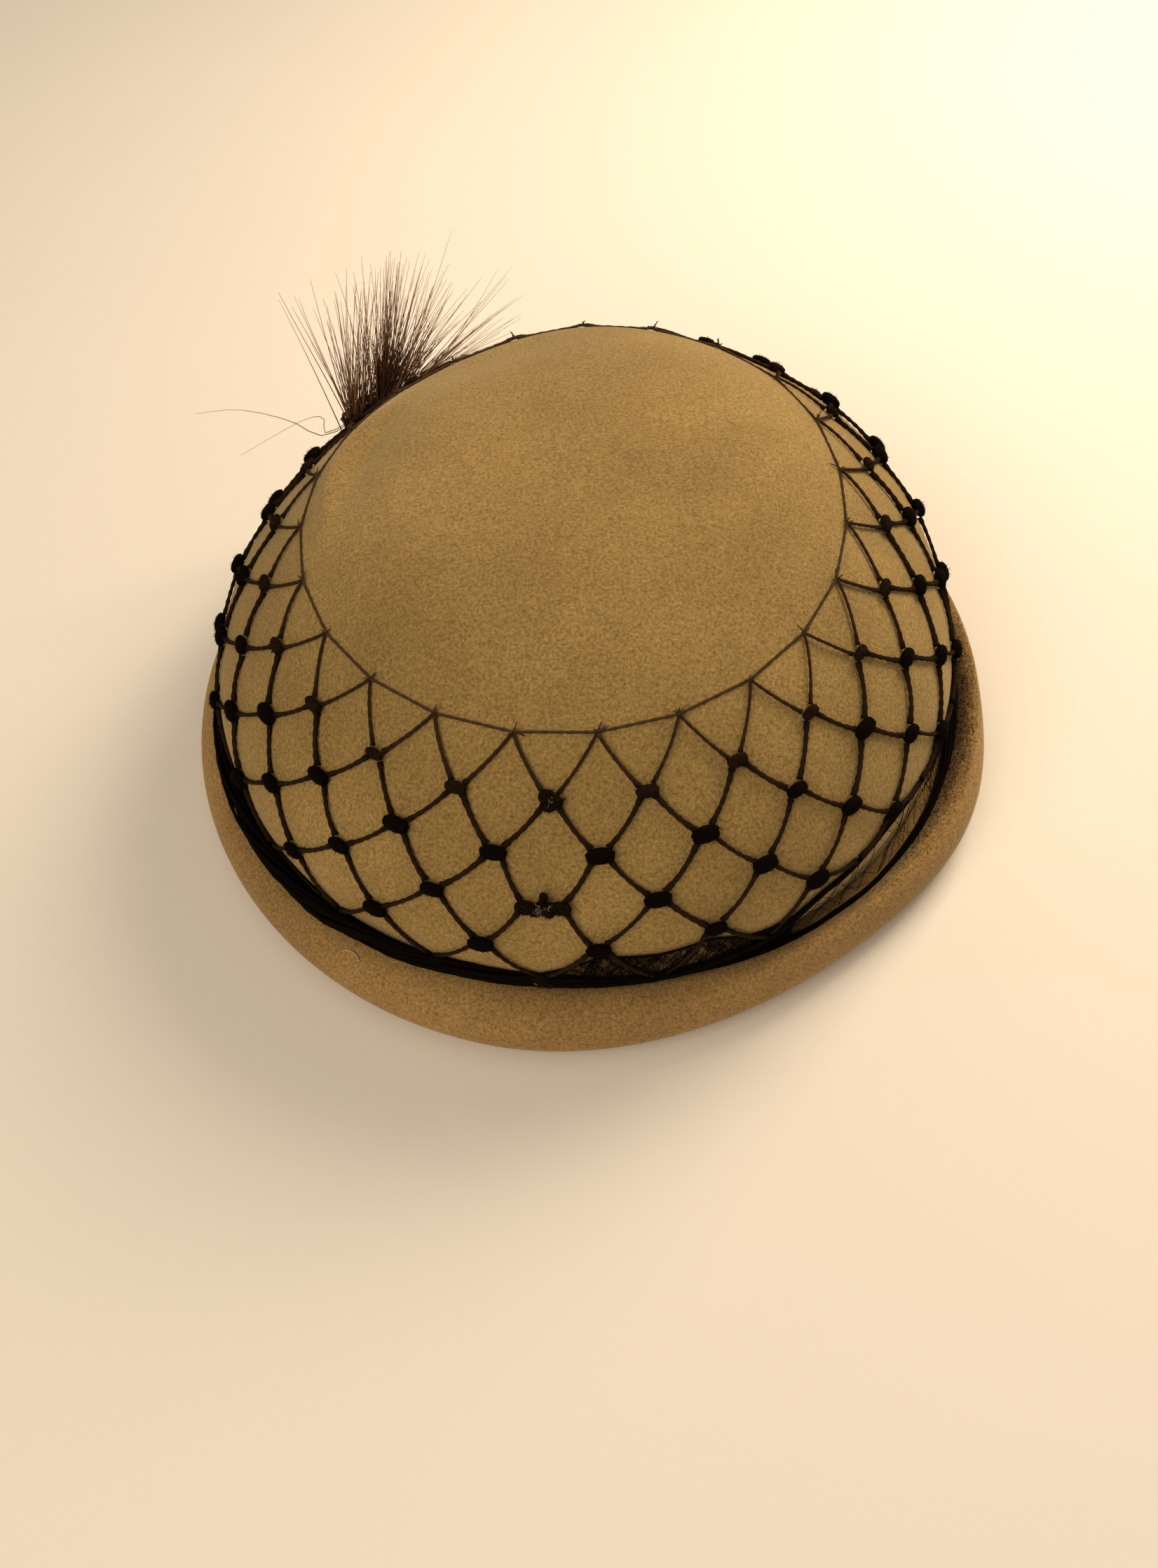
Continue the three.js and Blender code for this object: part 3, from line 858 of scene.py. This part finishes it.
def tied_place(row):
    angle, height, _ = knot_place(row, TIED_COLUMN)
    axes = [axis.reshape(1, 3) for axis in crown_axes(angle, height, NET_STANDOFF)]
    return on_crown(angle, height, NET_STANDOFF + KNOT_HALF_DEPTH * TIED_SEAT).reshape(1, 3), axes


def tied_lump(rng, middle, axes, sizes):
    """Loops of yarn round a lump, every one turned its own way."""
    turn = np.linspace(0, FULL_TURN, TIED_LOOP_STEPS, endpoint=False)[:, None]
    loops = []
    for _ in range(TIED_LOOPS):
        first = unit(rng.normal(size=3))
        second = unit(np.cross(first, rng.normal(size=3)))
        circle = np.cos(turn) * first + np.sin(turn) * second
        ring = circle * (np.array(sizes) - TIED_YARN) * rng.uniform(*TIED_LOOP_RANGE)
        loops.append(middle + ring @ np.concatenate(axes))
    radii = TIED_YARN * rng.uniform(*TIED_YARN_RANGE, (TIED_LOOPS, 1))
    return tubes(np.array(loops), radii, axes[2], TIED_YARN_SIDES, closed=True, tone=TIED_TONE)


def curled_ends(rng, centre, axes, count, wide, lengths, lift):
    """Paths of short thread ends that stand on a tied knot and curl over."""
    along, up, out = axes
    lean_along, lean_up = END_LEANS
    share = np.linspace(0, 1, END_STEPS)[:, None]
    paths = []
    for _ in range(count):
        start = centre + along * rng.uniform(-wide, wide) + up * rng.normal(0, END_SCATTER) + out * lift
        aim = along * rng.normal(0, lean_along) + up * rng.normal(0, lean_up) + out * rng.uniform(*END_RISE)
        bend = along * rng.normal(0, END_CURL) + up * rng.normal(0, END_CURL) - out * END_FALL
        paths.append(start + rng.uniform(*lengths) * (share * aim + share**2 * bend))
    return np.array(paths)


def net_tied_knots():
    rng = np.random.default_rng(31)
    parts = []
    for row, shift, rise, *sizes in TIED_LUMPS:
        centre, axes = tied_place(row)
        middle, half_sizes = centre + axes[0] * shift + axes[1] * rise, np.array([sizes])
        parts.append(tied_lump(rng, middle, axes, sizes))
        parts.append(knot_cores(middle, axes, half_sizes, TIED_TONE))
        parts.append(knot_fluff(rng, middle, axes, half_sizes, TIED_FLUFF_TONE))
    for row, ends, wide, lint in TIED_ENDS:
        centre, axes = tied_place(row)
        loose = curled_ends(rng, centre, axes, ends, wide, LOOSE_LENGTHS, LOOSE_LIFT)
        parts.append(tubes(loose, LOOSE_RADIUS, axes[2], LOOSE_SIDES, tone=LOOSE_TONE))
        pale = curled_ends(rng, centre, axes, lint, wide * LINT_RUN_SHARE, LINT_LENGTHS, LINT_LIFT)
        tones = rng.uniform(*LINT_TONES, (lint, 1))
        parts.append(tubes(pale, LINT_RADIUS, axes[2], LINT_SIDES, tone=tones))
    return join(parts)


# Hem: strands that wind over and under each other, every third one nearer the middle
HEM_STRANDS = 34
CREASE_NET_AND_SHADE_STRANDS = 16
HEM_STEPS = 300
HEM_SIDES = 6
HEM_RADIUS = 0.13
HEM_RADIUS_SHARE = 0.2
HEM_RADIUS_RANGE = (0.7, 1.15)
HEM_LOBE = 0.15
HEM_TWISTS = 50
HEM_WINDINGS = (2, 6)
HEM_WAVES = (5, 8, 13)
HEM_WAVE_SPREAD = 1.2
HEM_INNER_REACH = 0.55


def over_crown(angle, height_share, offset, up, out):
    """Puts a strand of the gathered hem in place."""
    return on_crown(angle, height_share + up / CROWN_HEIGHT, offset + out)


def in_crease(angle, height, radius, up, out):
    """Puts a strand of slack net, partly painted shade in the groove, in place."""
    return place(angle, radius + out, height + up)


def wound_strands(rng, sections, strands, put):
    """Strands that go all the way round the hat within a table of sections."""
    angle = np.linspace(-math.pi, math.pi, HEM_STEPS, endpoint=False)
    height, away, half_height, half_depth = section_at(angle, sections)
    paths = []
    for strand in range(strands):
        phase = strand * FULL_TURN / strands + rng.integers(*HEM_WINDINGS) * angle
        for wave in HEM_WAVES:
            swing = rng.normal(0, HEM_WAVE_SPREAD / wave)
            phase = phase + swing * np.sin(wave * angle + rng.uniform(0, FULL_TURN))
        reach = 1 if strand % 3 else HEM_INNER_REACH
        up, out = reach * half_height * np.sin(phase), reach * half_depth * np.cos(phase)
        paths.append(put(angle, height, away, up, out))
    twist = np.arange(HEM_STEPS) * FULL_TURN * HEM_TWISTS / HEM_STEPS
    radii = (HEM_RADIUS + HEM_RADIUS_SHARE * half_depth) * rng.uniform(*HEM_RADIUS_RANGE, (strands, 1))
    return tubes(np.array(paths), radii, UP, HEM_SIDES, closed=True, lobe=HEM_LOBE, twist=twist)


def net_hem():
    rng = np.random.default_rng(41)
    hem = wound_strands(rng, HEM_SECTIONS, HEM_STRANDS, over_crown)
    # The crease strands are slack net and also painted shade, darkening the groove at the right
    return join([hem, wound_strands(rng, CREASE_NET_AND_SHADE_SECTIONS, CREASE_NET_AND_SHADE_STRANDS, in_crease)])


# Slack net between the crease and an upper edge: close at the back, sparse at its right, where it is partly
# painted shade
BACK_GAUZE_STRANDS = 640
BACK_GAUZE = np.array([
    # angle in degrees, height shares of the lower and the upper edge
    (-17, 0.19, 0.225),
    (-3, 0.19, 0.355),
    (5, 0.19, 0.338),
    (12.5, 0.18, 0.35),
    (18, 0.175, 0.3),
    (25, 0.17, 0.28),
])
# Partly slack net, partly painted shade: sparse dark strands that darken the shaded strip of felt below the
# rope
SIDE_GAUZE_AND_SHADE_STRANDS = 80
SIDE_GAUZE_AND_SHADE = np.array([
    # the same columns
    (16, 0.18, 0.25),
    (31, 0.165, 0.315),
    (45, 0.15, 0.345),
    (64, 0.15, 0.32),
    (90, 0.16, 0.3),
])
GAUZE_STEPS = 14
GAUZE_SIDES = 4
GAUZE_LEANS = (1, 9)  # degrees round the hat from a strand's foot to its top
GAUZE_BEND = 0.6
GAUZE_SLACK = 0.1
GAUZE_LIFTS = (0.15, 0.7)
GAUZE_FOOT_LIFT = 1.5
GAUZE_RADII = (0.04, 0.09)
EDGE_STEPS = 60
EDGE_LIFT = 0.45
EDGE_RADIUS = 0.34
EDGE_SIDES = 6


def gauze(rng, edges, strands):
    """Fine strands from the lower to the upper edge, which lean either way."""
    share = np.linspace(0, 1, GAUZE_STEPS)
    arch = np.sin(math.pi * share)
    keys, low, high = edges.T
    paths = []
    for _ in range(strands):
        lean = rng.choice([-1, 1]) * rng.uniform(*GAUZE_LEANS)
        start = rng.uniform(keys[0], keys[-1])
        degrees = np.clip(start + lean * share + rng.normal(0, GAUZE_BEND) * arch, keys[0], keys[-1])
        foot, top = np.interp(degrees, keys, low), np.interp(degrees, keys, high)
        level = share + rng.normal(0, GAUZE_SLACK) * arch
        offset = NET_STANDOFF + rng.uniform(*GAUZE_LIFTS) + GAUZE_FOOT_LIFT * (1 - level) ** 2
        paths.append(on_crown(degrees * DEGREE, foot + (top - foot) * level, offset))
    radii = rng.uniform(*GAUZE_RADII, (strands, 1))
    return tubes(np.array(paths), radii, UP, GAUZE_SIDES)


def gauze_edge(edges):
    """The thicker cord that an upper edge of slack net hangs from."""
    keys, _, high = edges.T
    degrees = np.linspace(keys[0], keys[-1], EDGE_STEPS)
    path = on_crown(degrees * DEGREE, np.interp(degrees, keys, high), NET_STANDOFF + EDGE_LIFT)
    return tubes(path[None], EDGE_RADIUS, UP, EDGE_SIDES)


# Fine dark fibres on the roll's inner slope, thickest in the groove at the right: painted shade that stands
# for the shadow falling on that slope
SHADE_FIBRE_COUNT = 22000
SHADE_FIBRE_FIRST, SHADE_FIBRE_LAST = 12, 19  # steps of the brim's section
SHADE_FIBRE_FALL = 1.4  # how soon they thin out from the first step to the last
SHADE_FIBRE_ELSEWHERE = 0.02
SHADE_FIBRE_LENGTHS = (0.3, 1.0)
SHADE_FIBRE_RADIUS = 0.045
SHADE_FIBRE_RISE = 0.5
SHADE_FIBRE_CENTRE, SHADE_FIBRE_SPAN = 74 * DEGREE, 46 * DEGREE


def painted_shade_fibres(rng):
    angles = np.linspace(-math.pi, math.pi, BRIM_ANGLES, endpoint=False)
    sections = np.array([brim_section(angle) for angle in angles])
    weight = SHADE_FIBRE_ELSEWHERE + swell(angles, SHADE_FIBRE_CENTRE, SHADE_FIBRE_SPAN)
    pick = rng.choice(BRIM_ANGLES, SHADE_FIBRE_COUNT, p=weight / weight.sum())
    step = SHADE_FIBRE_FIRST + rng.beta(1, SHADE_FIBRE_FALL, SHADE_FIBRE_COUNT) * (SHADE_FIBRE_LAST - SHADE_FIBRE_FIRST)
    before, onward = step.astype(int), (step % 1)[:, None]
    spot = sections[pick, before] * (1 - onward) + sections[pick, before + 1] * onward
    turn = rng.uniform(-0.5, 0.5, SHADE_FIBRE_COUNT) * FULL_TURN / BRIM_ANGLES
    roots = place(angles[pick] + turn, *spot.T)
    aim = unit(rng.normal(size=roots.shape) + UP * SHADE_FIBRE_RISE)
    return spikes(roots, roots + aim * rng.uniform(*SHADE_FIBRE_LENGTHS, (SHADE_FIBRE_COUNT, 1)), SHADE_FIBRE_RADIUS, 0.0)


# A pale bit of lint that lies curled on the roll at the left
BRIM_LINT_ANGLE = -38.2 * DEGREE
BRIM_LINT_SPAN = 1.5 * DEGREE
BRIM_LINT_PLACE = 110.6  # radius of its ends round the hat
BRIM_LINT_CURL = 1.1
BRIM_LINT_LIFT = 0.5
BRIM_LINT_STEPS = 16
BRIM_LINT_RADIUS = 0.16
BRIM_LINT_SIDES = 5
BRIM_LINT_TONE = 0.85


def brim_lint():
    share = np.linspace(-1, 1, BRIM_LINT_STEPS)
    radius = BRIM_LINT_PLACE - BRIM_LINT_CURL * (1 - share**2)
    outside = brim_section(BRIM_LINT_ANGLE)[:BRIM_STEPS + 1]
    over, down = outside[outside[:, 1].argmax():outside[:, 0].argmax()].T
    height = np.interp(radius, over, down) + BRIM_LINT_LIFT
    path = place(BRIM_LINT_ANGLE + share * BRIM_LINT_SPAN, radius, height)
    return tubes(path[None], BRIM_LINT_RADIUS, UP, BRIM_LINT_SIDES, tone=BRIM_LINT_TONE)


def net_slack_and_shade():
    rng = np.random.default_rng(43)
    parts = [
        gauze(rng, BACK_GAUZE, BACK_GAUZE_STRANDS),
        gauze_edge(BACK_GAUZE),
        # partly painted shade: dark strands over the shaded felt strip below the rope
        gauze(rng, SIDE_GAUZE_AND_SHADE, SIDE_GAUZE_AND_SHADE_STRANDS),
        # painted shade: dark fibres that darken the roll's inner slope, thickest in the right groove
        painted_shade_fibres(rng),
        brim_lint(),
    ]
    return join(parts)


for make_piece in (net_cords, net_knots, net_tied_knots, net_hem, net_slack_and_shade):
    add_piece(make_piece.__name__, make_piece(), YARN_MATERIAL, "veil_net")

# Drawstring, with the frayed ends of the net's top points on it

STRING_HEIGHT = NET_ROWS[0][0]
STRING_RADIUS = 0.36
STRING_PITCH = 3.4
STRING_LOBE = 0.25
STRING_STEPS = 16
STRING_SIDES = 8
STRING_TONE = 0.05
FRAYED_ENDS = 6
FRAYED_STEPS = 6
FRAYED_SIDES = 5
FRAYED_AIM = (0, 0.5, 0.7)  # along the row, up and out
FRAYED_SPREAD = (0.7, 0.6, 0.3)
FRAYED_BEND = 0.5
FRAYED_LENGTHS = (0.8, 1.7)
FRAYED_ROOT_RADIUS, FRAYED_TIP_RADIUS = 0.3, 0.12
FRAYED_TONE = 0.06


def drawstring():
    rng = np.random.default_rng(53)
    angle = np.array([knot_angle(0, column) for column in range(NET_COLUMNS)])
    corner = on_crown(angle, STRING_HEIGHT, NET_STANDOFF + STRING_RADIUS)
    onward = np.roll(corner, -1, 0) - corner
    share = np.arange(STRING_STEPS) / STRING_STEPS
    path = (corner[:, None] + onward[:, None] * share[:, None]).reshape(1, -1, 3)
    turns = round(float(np.linalg.norm(onward, axis=1).sum()) / STRING_PITCH)
    twist = np.arange(path.shape[1]) * turns * math.pi / path.shape[1]
    thread = tubes(
        path, STRING_RADIUS, UP, STRING_SIDES, closed=True, lobe=STRING_LOBE, twist=twist, tone=STRING_TONE
    )
    share = np.linspace(0, 1, FRAYED_STEPS)[:, None]
    ends = []
    for start, *axes in zip(corner, *crown_axes(angle, STRING_HEIGHT, NET_STANDOFF)):
        for _ in range(FRAYED_ENDS):
            aim = rng.normal(FRAYED_AIM, FRAYED_SPREAD) @ np.array(axes)
            bend = rng.normal(0, FRAYED_BEND, 3) @ np.array(axes)
            ends.append(start + rng.uniform(*FRAYED_LENGTHS) * (aim * share + bend * share**2))
    taper = np.linspace(FRAYED_ROOT_RADIUS, FRAYED_TIP_RADIUS, FRAYED_STEPS)
    return join([thread, tubes(np.array(ends), taper, UP, FRAYED_SIDES, tone=FRAYED_TONE)])


add_piece("drawstring_thread", drawstring(), THREAD_MATERIAL, "drawstring")

# Plume: tufts of hair from a head that is bound with yarn

PLUME_ANGLE = -147 * DEGREE
PLUME_SEAT = 0.46
PLUME_OFFSET = 5.8
PLUME_LEAN = 6 * DEGREE
PLUME_TUFTS = [
    # root along the head and its height share, first and last angle of the fan in degrees,
    # hairs, shortest and longest in millimetres, palest tone
    (9.5, 0.465, 14, -4, 8, 30, 52, 0.95),
    (8.0, 0.465, 2, -24, 44, 20, 47, 0.95),
    (8.0, 0.465, 6, -26, 14, 9, 24, 0.8),
    (2.5, 0.475, -4, -24, 24, 18, 44, 0.9),
    (-2.5, 0.485, -12, -26, 56, 24, 48, 0.85),
    (-3.5, 0.485, -26, -53, 40, 24, 48, 0.95),
    (-3.0, 0.485, -36, -38, 1, 55, 56, 0.9),
    (-2.0, 0.48, 0, -48, 140, 8, 24, 0.12),
    (-8.0, 0.495, -34, -70, 24, 16, 40, 0.9),
    (-13.5, 0.505, -50, -97, 28, 22, 48, 1.0),
    (-11.5, 0.505, -30, -90, 36, 8, 22, 0.5),
]
STRAY_HAIRS = [
    # sideways and upward from the plume's root, point by point
    [(3, 0), (18.5, -1.4), (28.9, 10.0), (43.1, 21.2), (55.9, 26.2)],
    [(3, 0), (17.6, -0.8), (17.7, 5.3), (25.7, 7.6), (47.0, 5.9)],
]
STRAY_TONE, STRAY_TONE_GAIN = 0.5, 0.3
TUFT_OFFSET = 4.5
TUFT_SPREAD = (1.5, 1.0, 1.2)  # sideways, outward and along the plume
FAN_SPREAD = 2.5
FAN_TILT_ANGLES = (-90 * DEGREE, 25 * DEGREE)
FAN_TILTS = (-0.2, 0.06)
FAN_TILT_SPREAD = 0.09
LENGTH_SHAPE = (1.2, 1.8)
HAIR_STEPS = 12
HAIR_SIDES = 4
HAIR_RADIUS = 0.19
HAIR_TIP_SHARE = 0.3
HAIR_SET_OFF, HAIR_LEAN_OUT = 0.15, 0.33  # shares of its length that a hair goes each way to its bend
HAIR_TIP_SCATTER = 0.8
HAIR_WAVES = (2, 5)
HAIR_WAVE_STARTS = (0, 6)
HAIR_WAVE_SPREAD = 0.6
HAIR_WAVE_OUTWARD = 0.5
HAIR_TONE_POWER = 0.6
HAIR_TONE_RANGE = (0.6, 1.1)
HAIR_TONE_SCATTER = 0.03
HEAD_HALF_SIZES = (12.5, 5.0, 3.2)  # sideways, along the plume and outward
HEAD_TURNS = 14
HEAD_TONE = 0.02


def fan_hair(rng, axes, fan, middle, length):
    """One hair from its tuft's root: it sets off a little along the tuft's middle, then leans out."""
    axis, outward, sideways = axes
    tilt = np.interp(fan, FAN_TILT_ANGLES, FAN_TILTS) + rng.normal(0, FAN_TILT_SPREAD)
    direction = unit(axis * math.cos(fan) + sideways * math.sin(fan) + outward * tilt)
    onward = axis * math.cos(middle) + sideways * math.sin(middle)
    start = rng.normal(0, TUFT_SPREAD) @ np.array([sideways, outward, axis])
    bend = start + (onward * HAIR_SET_OFF + direction * HAIR_LEAN_OUT) * length
    tip = start + direction * length + rng.normal(0, HAIR_TIP_SCATTER, 3)
    share = np.linspace(0, 1, HAIR_STEPS)[:, None]
    curve = start * (1 - share) ** 2 + bend * 2 * share * (1 - share) + tip * share**2
    wave = np.sin(share * rng.uniform(*HAIR_WAVES) + rng.uniform(*HAIR_WAVE_STARTS))
    wave = wave * share * rng.normal(0, HAIR_WAVE_SPREAD)
    return curve + wave * sideways + wave * rng.normal(0, HAIR_WAVE_OUTWARD) * outward


def plume():
    rng = np.random.default_rng(61)
    root = on_crown(PLUME_ANGLE, PLUME_SEAT, PLUME_OFFSET)
    outward = unit(place(PLUME_ANGLE, 1, 0))
    sideways = np.cross(UP, outward)
    axis = UP * math.cos(PLUME_LEAN) + outward * math.sin(PLUME_LEAN)
    share = np.linspace(0, 1, HAIR_STEPS)
    paths, tones = [], []
    for along, height, first, last, count, shortest, longest, palest in PLUME_TUFTS:
        tuft = on_crown(PLUME_ANGLE + along / CROWN_RADIUS, height, TUFT_OFFSET)
        middle = (first + last) / 2 * DEGREE
        for _ in range(count):
            fan = (first + (last - first) * rng.uniform() + rng.normal(0, FAN_SPREAD)) * DEGREE
            length = longest - (longest - shortest) * rng.beta(*LENGTH_SHAPE)
            paths.append(tuft + fan_hair(rng, (axis, outward, sideways), fan, middle, length))
            tone = share**HAIR_TONE_POWER * palest * rng.uniform(*HAIR_TONE_RANGE)
            tones.append(np.clip(tone + rng.normal(0, HAIR_TONE_SCATTER), 0, 1))
    for line in STRAY_HAIRS:
        side, rise = spline(line, share)[0].T
        paths.append(root + side[:, None] * sideways + rise[:, None] * UP)
        tones.append(STRAY_TONE + STRAY_TONE_GAIN * share)
    taper = HAIR_RADIUS * (1 - (1 - HAIR_TIP_SHARE) * share)
    hairs = tubes(np.array(paths), taper, outward, HAIR_SIDES, tone=np.array(tones))
    head = (root[None], (sideways[None], axis[None], outward[None]), np.array([HEAD_HALF_SIZES]))
    return join([hairs, knot_coils(*head, HEAD_TURNS, HEAD_TONE), knot_cores(*head, 0.0)])


add_piece("plume_hair", plume(), HAIR_MATERIAL, "plume")

# Floor, light and camera. The floor and the lights are placed in metres.

FLOOR_HALF = 4.0
FLOOR_DROP = 0.0003
FLOOR_TINTS = [(0.3, (0.80, 0.74, 0.66)), (0.7, (0.82, 0.76, 0.68))]
LIGHTS = [
    # name, place, size, power in watts, colour
    ("key", (-0.48, -0.4, 0.53), 0.4, 6.8, (1.0, 0.84, 0.62)),
    ("top", (0.1, 0.1, 1.2), 0.9, 1.2, (1.0, 0.85, 0.65)),
    ("fill", (0.75, 0.9, 0.95), 1.1, 12, (1.0, 0.86, 0.7)),
]
LIGHT_AIM = (0, 0, 0.05)
WORLD_COLOUR = (1.0, 0.89, 0.74, 1)
WORLD_STRENGTH = 0.29


def pale_floor():
    material, shader = new_material("pale_floor", Roughness=0.8, Specular_IOR_Level=0.1)
    tint = ramp(material, noise(material, object_spot(material), scale=3), FLOOR_TINTS)
    connect(material, shader, Base_Color=tint)
    corners = [(x * FLOOR_HALF, y * FLOOR_HALF, 0) for x, y in ((-1, -1), (1, -1), (1, 1), (-1, 1))]
    mesh = bpy.data.meshes.new("floor")
    mesh.from_pydata(corners, [], [(0, 1, 2, 3)])
    mesh.materials.append(material)
    floor = bpy.data.objects.new("floor", mesh)
    floor.location.z = -FLOOR_DROP
    bpy.context.scene.collection.objects.link(floor)


def add_lights():
    for name, spot, size, power, colour in LIGHTS:
        light = bpy.data.lights.new(name, "AREA")
        light.size = size
        light.energy = power
        light.color = colour
        lamp = bpy.data.objects.new(name, light)
        lamp.location = spot
        aim = Vector(LIGHT_AIM) - Vector(spot)
        lamp.rotation_euler = aim.to_track_quat("-Z", "Y").to_euler()
        bpy.context.scene.collection.objects.link(lamp)
    world = bpy.data.worlds.new("studio")
    world.use_nodes = True
    background = world.node_tree.nodes["Background"]
    background.inputs["Color"].default_value = WORLD_COLOUR
    background.inputs["Strength"].default_value = WORLD_STRENGTH
    bpy.context.scene.world = world


def add_camera():
    data = bpy.data.cameras.new("camera")
    data.sensor_width = SENSOR_WIDTH
    data.lens = SENSOR_WIDTH * FOCAL_PIXELS / IMAGE_HEIGHT
    data.clip_start = CLIP_START * MM
    camera = bpy.data.objects.new("camera", data)
    turn = Matrix.Rotation(math.pi - VIEW_TURN, 4, "Z")
    tip = Matrix.Rotation(math.pi / 2 - VIEW_ELEVATION, 4, "X")
    roll = Matrix.Rotation(VIEW_ROLL, 4, "Z")
    ring = Matrix.Translation(Vector(RING_CENTRE) * MM)
    back = Matrix.Translation(-Vector(RING_IN_VIEW) * MM)
    camera.matrix_world = ring @ turn @ tip @ roll @ back
    bpy.context.scene.collection.objects.link(camera)
    bpy.context.scene.camera = camera


pale_floor()
add_lights()
add_camera()
bpy.context.scene.view_settings.view_transform = "Standard"
